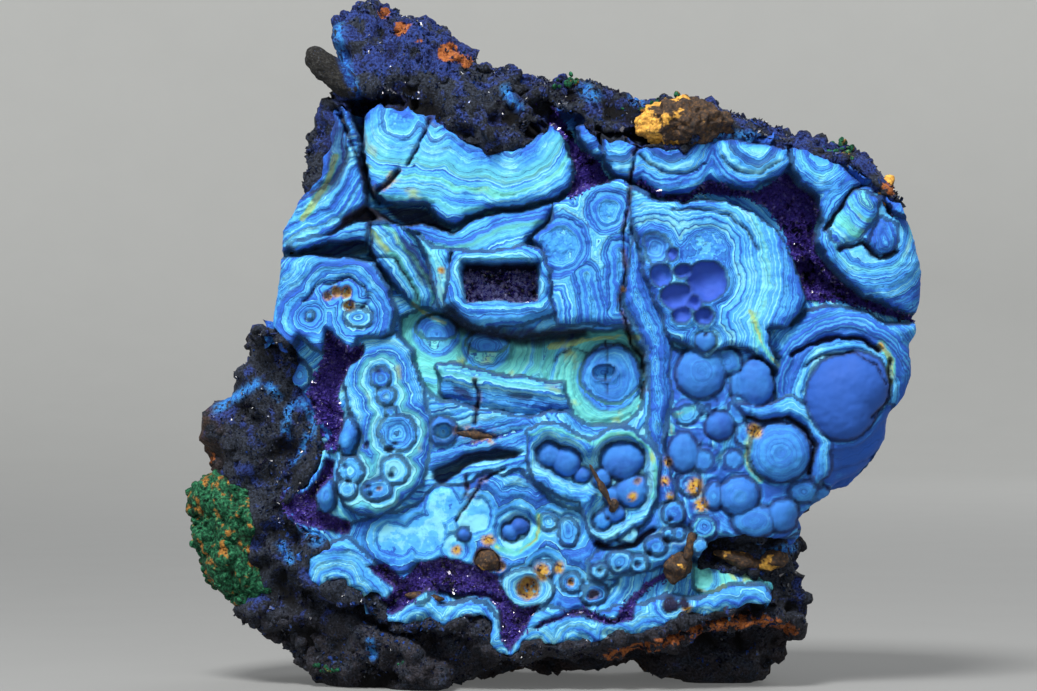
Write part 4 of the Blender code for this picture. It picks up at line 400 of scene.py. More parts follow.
SEAMS = [
    Seam(1, .8, [(139.6, 118.2), (142.4, 118.2), (145, 117.2)]),
    Seam(1, 1.0, [(110, 69.2), (115, 68.2), (121, 67.4), (127.6, 67.6)]),
    Seam(1, .9, [(82.6, 60.6), (85, 62.8), (88.6, 64.4)]),
    Seam(.9, .8, [(150, 62), (152, 68), (155.6, 73)]),
    Seam(.9, 1.2, [(151.5, 85.5), (149.4, 88.6), (149.2, 92.6), (152, 96)]),
    Seam(.8, .6, [(106, 87), (109.5, 85.6), (114, 86.6), (118.5, 88.6), (122.4, 86.8), (126.5, 86.8),
        (129.6, 90), (131, 94), (130.6, 99.5)]),
    Seam(.75, 1.4, [(77, 36.4), (82, 37.8), (88, 38.6), (95, 38.8), (102, 38)]),
    Seam(1, 1.2, [(66.8, 31), (64.4, 37.6), (60.6, 44)]),
    Seam(1, 1.3, [(176.4, 69), (178.2, 72), (178.4, 76)]),
    Seam(.9, .9, [(134.6, 86.5), (135, 83), (138.6, 81.5)]),
    Seam(.8, .8, [(84, 66), (85, 72), (88, 76)]),
    Seam(.9, .8, [(99.2, 109.4), (103, 110.8), (107, 108), (107.8, 103)]),
]
STAINS = [    # across, down, radius
    (139.1, 97.5, 1.9), (140.6, 100.8, 1.7), (151.1, 85.9, 1.6), (133.6, 92.6, 1.1), (133.2, 96.4, 1.2),
    (134, 99.6, 1), (126.6, 99.4, 1), (122.8, 101, 1.1), (108.4, 114.6, 2), (112, 113.8, 1.4),
    (97.6, 108.2, 1.4), (91.4, 110.4, 1.1), (88.5, 54, .8), (124.6, 57.6, .7), (137, 121.6, 1.2),
    (176.2, 69.4, .8), (157.4, 36.6, 1.6)
]
MALACHITE = [(33, 94), (44, 95.5), (49, 99), (50.5, 106), (49, 113), (52.5, 119), (47, 122.5), (33, 122)]


# ---------------------------------------------------------------- noise and outlines

def lattice_value(i, j, k, seed):
    """A repeatable value from -1 to 1 for each whole-numbered place."""
    n = (i * 374761393 + j * 668265263 + k * 974634777 + seed * 1274126177) & 0xFFFFFFFF
    n = ((n ^ (n >> 13)) * 1103515245) & 0xFFFFFFFF
    n = ((n ^ (n >> 16)) * 747796405) & 0xFFFFFFFF
    return ((n >> 8) & 0xFFFF) / 32767.5 - 1.0


def noise(x, y, z, seed):
    cell = [np.floor(c).astype(np.int64) for c in (x, y, z)]
    part = [c - whole for c, whole in zip((x, y, z), cell)]
    ease = [c * c * c * (c * (6 * c - 15) + 10) for c in part]
    total = 0.0
    for corner in np.ndindex(2, 2, 2):
        share = 1.0
        for step, e in zip(corner, ease):
            share = share * (e if step else 1 - e)
        total = total + share * lattice_value(*(c + s for c, s in zip(cell, corner)), seed)
    return total


def rough(x, y, z, size, octaves, seed):
    """Fractal noise whose largest bumps are of this size. Each use has a seed of its own."""
    total = 0.0
    for n in range(octaves):
        f = 2.0 ** n / size
        total = total + 0.5 ** n * noise(x * f + 17.3 * n, y * f - 5.1 * n, z * f, seed + n)
    return total / (2 - 0.5 ** (octaves - 1))


def knobs(x, y, z, size, seed):
    """Round knobs packed side by side: 1 on their tops, 0 in the creases between them."""
    cell = [np.floor(c / size).astype(np.int64) for c in (x, y, z)]
    nearest = np.full(np.shape(x), 9.0)
    for step in np.ndindex(3, 3, 3):
        at = [c + s - 1 for c, s in zip(cell, step)]
        spot = [a + 0.5 + 0.42 * lattice_value(*at, seed + n) for n, a in enumerate(at)]
        gap = sum((c / size - s) ** 2 for c, s in zip((x, y, z), spot))
        nearest = np.minimum(nearest, gap)
    return np.sqrt(np.clip(1 - nearest, 0, 1))


def smooth(low, high, value):
    t = np.clip((value - low) / (high - low), 0, 1)
    return t * t * (3 - 2 * t)


def to_line(across, down, points):
    best = np.full(np.shape(across), 1e9)
    for (a0, d0), (a1, d1) in zip(points, points[1:]):
        la, ld = a1 - a0, d1 - d0
        t = np.clip(((across - a0) * la + (down - d0) * ld) / (la * la + ld * ld), 0, 1)
        best = np.minimum(best, np.hypot(across - a0 - t * la, down - d0 - t * ld))
    return best


def within(across, down, outline):
    """Distance to the outline, positive inside it."""
    ring = list(outline) + [outline[0]]
    inside = np.zeros(np.shape(across), bool)
    for (a0, d0), (a1, d1) in zip(ring, ring[1:]):
        if d0 != d1:
            beside = across < (a1 - a0) * (down - d0) / (d1 - d0) + a0
            inside ^= ((d0 > down) != (d1 > down)) & beside
    return np.where(inside, 1, -1) * to_line(across, down, ring)


# ---------------------------------------------------------------- the face: form and looks over the sheet

def growth_distance(across, down, seeds):
    """Distance from the nearest place where the layers began: a disc or a line."""
    best = np.full(np.shape(across), 1e9)
    for seed in seeds:
        if isinstance(seed, list):
            best = np.minimum(best, to_line(across, down, seed))
        else:
            best = np.minimum(best, np.hypot(across - seed[0], down - seed[1]) - seed[2])
    return best


TREADS, TREAD_RANGE = 90, (0.35, 1.65)     # more than any panel needs, and how uneven they are
RISER_SHARE, WIDEST_RISER = 0.8, 0.28


def stairs(distance, step, seed):
    """The distance turned into treads and risers of uneven width."""
    widths = np.random.default_rng(seed).uniform(*TREAD_RANGE, TREADS) * step
    ends = np.cumsum(widths)
    riser = RISER_SHARE * np.minimum(widths / 2, WIDEST_RISER)
    places = np.stack([ends - riser, ends + riser], 1).ravel()
    heights = np.stack([ends - widths, ends], 1).ravel()
    return np.interp(distance, np.append(-5, places), np.append(0, heights))


SWAY, SWAY_SIZE = 0.55, 5.0     # how far outlines are moved, and over what distance
QUIVER, QUIVER_SIZE = 0.25, 1.6


def bent(across, down):
    """The sheet place moved a little, so that no outline stays straight."""
    flat = np.zeros_like(across)
    moves = [SWAY * rough(across, down, flat + z, SWAY_SIZE, 3, seed) for z, seed in ((0, 11), (9, 21))]
    fine = [QUIVER * rough(across, down, flat, QUIVER_SIZE, 2, seed) for seed in (31, 41)]
    return across + moves[0] + fine[0], down + moves[1] + fine[1]


COBBLE_RISE, COBBLE_SINK = 1.3, 0.9
SKIRT, SKIRT_DEPTH = (0.15, 0.3), 0.45     # the dark line round a dome: how far out and how wide
HALO = (0.75, 0.35)     # the pale line outside it
LIP_AT, LIP_WIDTH, LIP_RISE = 1.1, 0.45, 0.55     # the raised lip of a cup
RING_AT, RING_WIDTH, RINGED_TONE = 0.72, 0.24, 0.75     # the pale ring on each lighter dome


def band(distance, middle, width):
    """1 at this distance, fading to 0 on both sides of it."""
    return np.exp(-((distance - middle) / width) ** 2)


class FaceMap:
    """The face's height and looks on a fine grid of the sheet, read at any place."""

    LOOKS = "height layer tone green dark rust dome violet crystal azure ledge".split()

    def __init__(self):
        lines = [low + MAP_STEP * np.arange(int(size / MAP_STEP)) for low, size in zip(MAP_LOW, MAP_SIZE)]
        self.across, self.down = np.meshgrid(*lines)
        self.bent = bent(self.across, self.down)
        for look in self.LOOKS:
            setattr(self, look, np.zeros_like(self.across))
        self.lay_panels()
        self.sink_basins()
        self.lay_cobbles()
        self.raise_mounds()
        self.cut_hollows()
        self.cut_cracks()
        self.cut_pits()
        self.tint_seams()
        self.grow_grains()
        self.azure = within(*self.bent, AZURITE) + 0.8 * rough(*self.bent, 0 * self.down, 2.6, 3, 61)
        self.ledge = self.steepness()
        above = smooth(60, 46, self.down) + smooth(66, 58, self.across)
        self.tone += 0.9 * smooth(3.4, 0.2, self.azure) * np.clip(above, 0, 1)

    def lay_panels(self):
        self.plain = np.zeros_like(self.across)
        for number, panel in enumerate(PANELS):
            share, rim, centre = 1.0, 0.0, (0.0, 0.0)
            if panel.outline:
                inside = within(*self.bent, panel.outline)
                share, rim = smooth(-LEDGE, LEDGE, inside), 1 - smooth(0, RIM_WIDTH, inside)
                centre = np.mean(panel.outline, 0)
            grow = growth_distance(*self.bent, panel.seeds)
            slant = panel.tilt[0] * (self.bent[0] - centre[0]) + panel.tilt[1] * (self.bent[1] - centre[1])
            flat = panel.height + slant
            stepped = flat - panel.slope * stairs(grow, panel.step, number) - RIM_DROP * rim ** 2
            self.height += (stepped - self.height) * share
            self.plain += (flat - panel.slope * np.maximum(grow, 0) - self.plain) * share
            self.layer = np.where(share > 0.5, np.maximum(grow, 0) + 37 * number, self.layer)
            self.tone += (panel.tone + RIM_TONE * rim - self.tone) * share
            self.green += (panel.green - self.green) * share

    def sink_basins(self):
        for basin in BASINS:
            share = smooth(-0.5, 0.6, within(*self.bent, basin.outline))
            self.height += (basin.height - self.height) * share
            self.plain += (basin.height - self.plain) * share
            self.tone += (0.5 - self.tone) * share

    def lay_cobbles(self):
        for panel in PANELS:
            if panel.name in COBBLED:
                share = smooth(0, 1.2, within(*self.bent, panel.outline))
                cobbles = knobs(*self.bent, 0 * self.down, COBBLED[panel.name], 66)
                self.height += share * (COBBLE_RISE * cobbles - COBBLE_SINK)
                self.tone += share * (0.5 - 0.9 * smooth(0.35, 0.0, cobbles))
                self.dome = np.maximum(self.dome, 0.45 * share * smooth(0.2, 0.6, cobbles))

    def raise_mounds(self):
        reaches = []
        for mound in MOUNDS:
            a, d = (self.across + 2 * self.bent[0]) / 3, (self.down + 2 * self.bent[1]) / 3
            reach = np.hypot((a - mound.across) / mound.half_width, (d - mound.down) / mound.half_height)
            reaches.append(reach)
            if mound.rise > 0:
                beyond = (reach - 1) * min(mound.half_width, mound.half_height)
                skirt, halo = (band(beyond, *place) * (reach > 1) for place in (SKIRT, HALO))
                self.height -= SKIRT_DEPTH * skirt
                # The skirt is painted dark: painted shade in the groove round the dome's foot.
                self.dark = np.maximum(self.dark, 0.5 * skirt)
                self.tone -= 0.5 * halo * self.tone
                self.dome *= 1 - 0.6 * halo
        shades = np.random.default_rng(67).uniform(-0.35, 0.15, len(MOUNDS))
        for number, (mound, reach) in enumerate(zip(MOUNDS, reaches)):
            centre = np.argmin(np.hypot(self.across - mound.across, self.down - mound.down))
            ground = self.plain.flat[centre]
            bulge = mound.rise * np.sqrt(np.clip(1 - reach * reach, 0, 1))
            if mound.rise > 0:
                hit = (reach < 1) & (ground - 0.3 + bulge > self.height)
                self.height = np.where(hit, ground - 0.3 + bulge, self.height)
            else:
                hit = (reach < 1) & (ground + 0.4 + bulge < self.height)
                self.height = np.where(hit, ground + 0.4 + bulge, self.height)
                size = min(mound.half_width, mound.half_height)
                self.height += LIP_RISE * np.exp(-((reach - LIP_AT) * size / LIP_WIDTH) ** 2)
            share = np.clip(mound.tone * 1.2 - 0.2 + shades[number], 0, 1)
            self.tone = np.where(hit, mound.tone + 0.5 * shades[number], self.tone)
            self.violet = np.where(hit, mound.rise < 0 and mound.tone > 0.6, self.violet)
            self.green = np.where(hit, self.green * 0.2, self.green)
            self.dark = np.where(hit, 0, self.dark)
            self.dome = np.where(hit, share * (1 - 0.4 * smooth(0.9, 1.0, reach)), self.dome)
            if mound.rise > 0 and mound.tone < RINGED_TONE:
                ring = hit * np.exp(-((RING_AT - reach) * mound.half_width / RING_WIDTH) ** 2)
                self.tone -= 0.8 * ring * self.tone
                self.dome *= 1 - 0.8 * ring
            self.layer = np.where(hit, 900 + 11 * number + reach * mound.half_width, self.layer)

    def cut_hollows(self):
        for hollow in HOLLOWS:
            edge = within(*self.bent, hollow.outline)
            sunk = self.height + (hollow.floor - self.height) * smooth(-0.3, 0.9, edge)
            self.height = np.minimum(self.height, sunk)
            # Hollows are painted dark: painted shade in the gaps, and the dark ground under the crystals of
            # valleys and channels.
            self.dark = np.maximum(self.dark, smooth(-0.1, 0.35, edge) * hollow.dark)
            self.rust = np.maximum(self.rust, smooth(0, 0.5, edge) * hollow.rust)
            if hollow.name.startswith(("valley", "channel", "hole")):
                self.crystal = np.maximum(self.crystal, smooth(-0.1, 0.5, edge))
        pocket = within(*self.bent, POCKET)
        floor = POCKET_RISE * smooth(POCKET[0][1], POCKET[2][1], self.down) - POCKET_FLOOR
        self.height += (floor - self.height) * smooth(-0.3, 0.5, pocket)
        lining = smooth(0, 0.6, pocket) * smooth(POCKET[0][1] + 1.6, POCKET[0][1] + 3.2, self.down)
        # Above its crystal lining the pocket is painted dark: painted shadow under the pocket's upper edge.
        self.dark = np.maximum(self.dark, smooth(0, 0.6, pocket) - lining)
        self.crystal = np.maximum(self.crystal, lining)

    def cut_cracks(self):
        patchy = smooth(-0.1, 0.4, rough(self.across, self.down, 0 * self.down, 1.2, 2, 77))
        uneven = 0.85 + 0.55 * rough(self.across, self.down, 0 * self.down, 3.0, 3, 78)
        for crack in CRACKS:
            beside = to_line(*self.bent, crack.points) / (crack.width * uneven)
            share = 1 - smooth(0.3, 0.9, beside)
            self.height -= crack.depth * share
            # Cracks are painted dark along their line: painted shade in the crack.
            self.dark = np.maximum(self.dark, share * crack.dark)
            self.rust = np.maximum(self.rust, crack.rust * (1 - smooth(1, 2.2, beside)) * patchy)

    def cut_pits(self):
        for across, down, radius, rust in PITS:
            reach = np.hypot(self.bent[0] - across, self.bent[1] - down) / radius
            share = 1 - smooth(0.7, 1.05, reach)
            self.height -= min(2.2, 1.2 * radius) * share
            # Pits are painted dark, less where rusty: painted shade in the pit.
            self.dark = np.maximum(self.dark, share * 0.9 * (1 - 0.5 * rust))
            self.rust = np.maximum(self.rust, rust * (1 - smooth(0.8, 1.15, reach)))

    def tint_seams(self):
        for seam in SEAMS:
            beside = to_line(*self.bent, seam.points) / seam.width
            self.green = np.maximum(self.green, seam.amount * (1 - smooth(0.4, 1.1, beside)))
        for across, down, radius in STAINS:
            reach = np.hypot(self.bent[0] - across, self.bent[1] - down) / radius
            self.rust = np.maximum(self.rust, 1 - smooth(0.5, 1.2, reach))

    def grow_grains(self):
        for across, down, radius in GRAINS:
            reach = np.hypot(self.bent[0] - across, self.bent[1] - down) / radius
            share = 1 - smooth(0.9, 1.05, reach)
            self.height += share * 0.25 * radius * np.sqrt(np.clip(1 - reach * reach, 0, 1))
            self.dark = np.maximum(self.dark, share)

    def steepness(self):
        slopes = np.gradient(self.height, MAP_STEP)
        return smooth(0.5, 2.2, np.hypot(*slopes))

    def read(self, look, across, down):
        grid = getattr(self, look)
        a = np.clip((across - MAP_LOW[0]) / MAP_STEP, 0, grid.shape[1] - 1.001)
        d = np.clip((down - MAP_LOW[1]) / MAP_STEP, 0, grid.shape[0] - 1.001)
        i, j = a.astype(int), d.astype(int)
        u, v = a - i, d - j
        top = grid[j, i] * (1 - u) + grid[j, i + 1] * u
        low = grid[j + 1, i] * (1 - u) + grid[j + 1, i + 1] * u
        return top * (1 - v) + low * v


@cache
def face():
    return FaceMap()


# ---------------------------------------------------------------- settings

def colour(name, words, value):
    return FloatVectorProperty(name=name, description=words, subtype="COLOR", min=0, max=1, default=value)


def number(name, words, value):
    return IntProperty(name=name, description=words, default=value)


def length(name, words, value):
    return FloatProperty(name=name, description=words, subtype="DISTANCE", unit="LENGTH", default=value)


class AzuriteSizes(PropertyGroup):
    skin_step: length("Skin step", "Size of the blue face's smallest squares", 0.00039)
    rock_step: length("Rock step", "Size of the rock's smallest squares", 0.00078)
    druse_crystal: length("Druse crystal", "Usual length of a crystal in the hollows", 0.00048)
    rock_crystal: length("Rock crystal", "Usual length of a crystal on the rock", 0.00045)
    rock_crystals: number("Rock crystals", "How many crystals grow on the rock", 18500)
    rock_knob: length("Rock knob", "Usual radius of a small knob on the rock", 0.001)
    rock_knobs: number("Rock knobs", "How many small knobs stand on the rock", 2400)
    fine_band: length("Fine band", "Thickness of the thinnest layers", 0.00044)
    broad_band: length("Broad band", "Thickness of the broad colour bands", 0.0019)


class AzuriteColours(PropertyGroup):
    pale: colour("Pale band", "Colour of the palest bands", (0.22, 0.68, 0.90))
    sky: colour("Light blue", "Colour of the light blue bands", (0.095, 0.47, 0.90))
    azure: colour("Azure", "Main colour of the face", (0.050, 0.335, 0.84))
    royal: colour("Royal blue", "Colour of the darker bands", (0.020, 0.115, 0.56))
    dome: colour("Dome blue", "Colour of the domes and cups", (0.020, 0.095, 0.42))
    # Ink blue is also mixed into gaps, cracks and pits as painted shade.
    ink: colour("Ink blue", "Colour of crystals and deep gaps", (0.006, 0.006, 0.035))
    aqua: colour("Sea green", "Colour of the green tinted bands", (0.12, 0.60, 0.50))
    lime: colour("Yellow green", "Colour of the yellowish green patches", (0.36, 0.55, 0.11))
    ochre: colour("Ochre", "Colour of the iron stains", (0.46, 0.21, 0.04))
    rock: colour("Rock", "Colour of the dark rock", (0.009, 0.0115, 0.018))
    umber: colour("Umber", "Colour of the rock's brown parts", (0.035, 0.018, 0.010))
    malachite: colour("Malachite", "Colour of the green crust", (0.006, 0.085, 0.038))
    floor: colour("Floor", "Colour of the floor", (0.190, 0.193, 0.192))
    backdrop: colour("Backdrop", "Colour of the backdrop", (0.51, 0.515, 0.50))


def scaled(shade, gain):
    return tuple(gain * c for c in shade)


# ---------------------------------------------------------------- making meshes

def read_all(items, name, wide=1, kind=np.float32):
    """One property of every item, with this many values for each."""
    flat = np.empty(len(items) * wide, kind)
    items.foreach_get(name, flat)
    return flat.reshape(-1, wide)


def corners_of(mesh):
    return read_all(mesh.vertices, "co", 3).astype(float) / MM


def normals_of(mesh):
    return read_all(mesh.vertex_normals, "vector", 3).astype(float)


def quads_of(mesh):
    return read_all(mesh.loops, "vertex_index", kind=np.int32).reshape(-1, 4)


def move_corners(mesh, points):
    mesh.vertices.foreach_set("co", (points * MM).astype(np.float32).ravel())
    mesh.update()


def mesh_of(name, points, faces):
    mesh = bpy.data.meshes.new(name)
    mesh.from_pydata((points * MM).tolist(), [], faces)
    mesh.update()
    return mesh


def part_of(name, points, faces, keep):
    """The faces whose corners are all kept, as a mesh, and the old index of each of its corners."""
    faces = faces[keep[faces].all(axis=1)]
    used, index = np.unique(faces, return_inverse=True)
    return mesh_of(name, points[used], index.reshape(faces.shape).tolist()), used


def store(mesh, **looks):
    for name, values in looks.items():
        mesh.attributes.new(name, "FLOAT", "POINT").data.foreach_set("value", values.astype(np.float32))


def shade_smooth(mesh):
    mesh.polygons.foreach_set("use_smooth", np.ones(len(mesh.polygons), bool))


def add_piece(name, mesh, finish, slot, *nodes):
    """A piece of the specimen that rides on the rock and stands for these solids."""
    piece = bpy.data.objects.new(name, mesh)
    bpy.context.scene.collection.objects.link(piece)
    mesh.materials.append(finish)
    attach(piece, "root")
    if nodes:
        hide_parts(*nodes)
    return piece


def even_block(step):
    """The rock's outline as a slab with an even skin of small squares: its corners and squares."""
    curve = bpy.data.curves.new("outline", "CURVE")
    curve.dimensions, curve.fill_mode = "2D", "BOTH"
    curve.extrude = ROCK_DEPTH / 2 * MM
    spline = curve.splines.new("POLY")
    spline.points.add(len(SILHOUETTE) - 1)
    for point, (across, down) in zip(spline.points, SILHOUETTE):
        point.co = ((across - SHEET_CENTRE) * MM, (SHEET_FOOT - down) * MM, 0, 1)
    spline.use_cyclic_u = True
    outline = bpy.data.objects.new("outline", curve)
    slab = bpy.data.objects.new("slab", evaluated_mesh(outline))
    held = bmesh.new()
    held.from_mesh(slab.data)
    bmesh.ops.remove_doubles(held, verts=held.verts, dist=1e-6)
    bmesh.ops.recalc_face_normals(held, faces=held.faces)
    held.to_mesh(slab.data)
    held.free()
    skin = slab.modifiers.new("skin", "REMESH")
    skin.mode, skin.voxel_size = "VOXEL", step * MM
    mesh = evaluated_mesh(slab)
    points, faces = corners_of(mesh), quads_of(mesh)
    bpy.data.meshes.remove(mesh)
    return np.stack([points[:, 0], DATUM_Y + ROCK_DEPTH / 2 - points[:, 2], points[:, 1]], 1), faces


def evaluated_mesh(obj):
    """The object's mesh with its modifiers; the object is shown only while this is worked out."""
    bpy.context.scene.collection.objects.link(obj)
    bpy.context.view_layer.update()
    made = bpy.data.meshes.new_from_object(obj.evaluated_get(bpy.context.evaluated_depsgraph_get()))
    bpy.context.scene.collection.objects.unlink(obj)
    return made


def on_sheet(x, z):
    """The same place as across and down on the sheet."""
    return x + SHEET_CENTRE, SHEET_FOOT - z


def sheet_place(points):
    """Across, down and depth of corners that aren't shaped yet."""
    return *on_sheet(points[:, 0], points[:, 2]), points[:, 1] - DATUM_Y


def shaped(points):
    """Corners of the even block moved to the rock's form."""
    x, y, z = points.T
    depth = y - DATUM_Y
    inward = np.clip(depth / ROCK_DEPTH, 0, 1)
    across, down = on_sheet(x, z)
    edge = np.maximum(within(across, down, SILHOUETTE), 0)
    roll = 1 - np.sqrt(1 - (1 - np.minimum(edge / ROLL_WIDTH, 1)) ** 2)
    relief = face().read("height", across, down) - ROLL_DEPTH * roll
    rocky = 1 - smooth(-0.6, 0.4, face().read("azure", across, down))
    relief += rocky * FACE_LUMPS * rough(across, down, 0 * down, 7.0, 3, 51)
    depth = depth - relief * (1 - inward) ** 1.5

    bulge = 1 - np.clip(np.hypot(x / BACK_REACH[0], (z - BACK_MIDDLE) / BACK_REACH[1]), 0, 1) ** 2
    depth = depth + BACK_DOME * (bulge - 1) * smooth(0.75, 1.0, inward)
    narrower = 1 - BACK_TAPER * inward ** 1.8
    x, z = x * narrower, z * narrower
    swell = smooth(0.0, 0.25, inward)
    lumps = [SIDE_LUMPS * rough(x, y, z, 15.0, 4, seed) for seed in (71, 81, 91)]
    x, z = x + swell * lumps[0], z + swell * lumps[2]
    depth = depth + smooth(0.6, 1.0, inward) * lumps[1]
    for across_foot, depth_foot, half_width, half_depth in FEET:
        reach = np.hypot((across - across_foot) / half_width, (depth - depth_foot) / half_depth)
        low = 1 - smooth(0.4 * FOOT_HEIGHT, FOOT_HEIGHT, z)
        z = z - FOOT_DROP * low * (1 - smooth(0.55, 1.0, reach))
    return np.stack([x, DATUM_Y + depth, z], 1)


def on_face(across, down):
    """Places on the face, and which way the face looks there."""
    def spot(a, d):
        return shaped(np.stack([a - SHEET_CENTRE, np.full_like(a, DATUM_Y), SHEET_FOOT - d], 1))
    here = spot(across, down)
    right, below = spot(across + 0.3, down) - here, spot(across, down + 0.3) - here
    facing = np.cross(below, right)
    return here, facing / np.linalg.norm(facing, axis=1)[:, None]


WEDGE_CORNERS = [    # a low crystal with a roof ridge
    (1, 0.8, -0.4), (-1, 0.8, -0.4), (-1, -0.8, -0.4), (1, -0.8, -0.4), (0.5, 0, 1), (-0.6, 0.1, 0.85)
]
WEDGE_FACES = [(0, 1, 5), (0, 5, 4), (1, 2, 5), (2, 3, 4), (2, 4, 5), (3, 0, 4)]


def copied(faces, corners, count):
    """The faces of one body repeated for this many bodies with this many corners each."""
    return (faces[None] + corners * np.arange(count)[:, None, None]).reshape(-1, 3)


def crystals(places, facings, lengths, rng, lean):
    """Crystals that stand on the places: corners and triangles of all of them."""
    count = len(places)
    up = facings + lean * rng.normal(size=(count, 3))
    up /= np.linalg.norm(up, axis=1)[:, None]
    side = np.cross(up, rng.normal(size=(count, 3)))
    side /= np.linalg.norm(side, axis=1)[:, None]
    turn = np.stack([side, np.cross(up, side), up], 1)
    wide = lengths * CRYSTAL_SLIM * rng.uniform(0.7, 1.3, count)
    size = np.stack([wide, wide * rng.uniform(0.6, 1.2, count), lengths], 1)
    sized = np.array(WEDGE_CORNERS)[None] * size[:, None]
    points = np.einsum("nci,nij->ncj", sized, turn) + places[:, None]
    return points.reshape(-1, 3), copied(np.array(WEDGE_FACES), len(WEDGE_CORNERS), count)


# ---------------------------------------------------------------- finishes

class Finish:
    """A material being put together. Each call adds one node and gives back its output."""

    def __init__(self, name):
        self.material = bpy.data.materials.new(name)
        self.material.use_nodes = True
        self.nodes, self.links = self.material.node_tree.nodes, self.material.node_tree.links
        self.shader = self.nodes["Principled BSDF"]
        place = self.nodes.new("ShaderNodeTexCoord").outputs["Object"]
        self.place = self.node("VectorMath", {0: place, "Scale": 1 / MM}, operation="SCALE")

    def node(self, kind, inputs, output=0, **settings):
        made = self.nodes.new("ShaderNode" + kind)
        for name, value in settings.items():
            setattr(made, name, value)
        for key, value in inputs.items():
            if isinstance(value, bpy.types.NodeSocket):
                self.links.new(value, made.inputs[key])
            else:
                made.inputs[key].default_value = value
        return made.outputs[output]

    def math(self, operation, a, b=0.0, clamp=False):
        return self.node("Math", {0: a, 1: b}, operation=operation, use_clamp=clamp)

    def times(self, first, second):
        return self.math("MULTIPLY", first, second)

    def look(self, name):
        return self.node("Attribute", {}, output="Fac", attribute_name=name)

    def speckle(self, size, detail=3.0, roughness=0.55):
        """Noise from 0 to 1 with features of this size in millimetres."""
        inputs = {"Vector": self.place, "Scale": 1 / size, "Detail": detail, "Roughness": roughness}
        return self.node("TexNoise", inputs)

    def banding(self, along, size, detail=1.0):
        """Noise from 0 to 1 that varies only along one distance."""
        inputs = {"W": along, "Scale": 1 / size, "Detail": detail, "Roughness": 0.6}
        return self.node("TexNoise", inputs, noise_dimensions="1D")

    def layers(self, along, thickness):
        """Uneven layers: how far through its layer a place is, and a value from 0 to 1 for each layer."""
        uneven = self.times(self.banding(along, 4 * thickness), 4.0)
        steps = self.math("ADD", self.times(along, 1 / thickness), uneven)
        number = self.math("FLOOR", steps)
        value = self.node("TexWhiteNoise", {"W": number}, noise_dimensions="1D")
        return self.math("SUBTRACT", steps, number), value

    def between(self, value, low, high):
        """0 below low, 1 above high."""
        inputs = {"Value": value, "From Min": low, "From Max": high}
        return self.node("MapRange", inputs, interpolation_type="SMOOTHSTEP")

    def centred(self, value, gain):
        """Noise from 0 to 1 made to swing this far about 0."""
        return self.times(self.math("SUBTRACT", value, 0.5), 2 * gain)

    def total(self, *values):
        found = values[0]
        for value in values[1:]:
            found = self.math("ADD", found, value)
        return found

    def level(self, share, first, second):
        return self.node("Mix", {0: share, 2: first, 3: second})

    def mix(self, share, first, second, blend="MIX"):
        def full(value):
            return value if isinstance(value, bpy.types.NodeSocket) else (*value, 1)
        inputs = {0: share, 6: full(first), 7: full(second)}
        return self.node("Mix", inputs, output=2, data_type="RGBA", blend_type=blend)

    def ramp(self, value, stops):
        made = self.nodes.new("ShaderNodeValToRGB")
        self.links.new(value, made.inputs[0])
        row = made.color_ramp.elements
        while len(row) < len(stops):
            row.new(0.5)
        for element, (place, shade) in zip(row, stops):
            element.position, element.color = place, (*shade, 1)
        return made.outputs[0]

    def raised(self, height, distance, strength=1.0, under=None):
        """Fine relief: height from 0 to 1 stands this many millimetres high."""
        inputs = {"Height": height, "Distance": distance * MM, "Strength": strength}
        if under is not None:
            inputs["Normal"] = under
        return self.node("Bump", inputs)

    def done(self, base, roughness, normal=None, **fixed):
        self.links.new(base, self.shader.inputs["Base Color"])
        if isinstance(roughness, bpy.types.NodeSocket):
            self.links.new(roughness, self.shader.inputs["Roughness"])
        else:
            self.shader.inputs["Roughness"].default_value = roughness
        if normal is not None:
            self.links.new(normal, self.shader.inputs["Normal"])
        for name, value in fixed.items():
            self.shader.inputs[name.replace("_", " ")].default_value = value
        return self.material


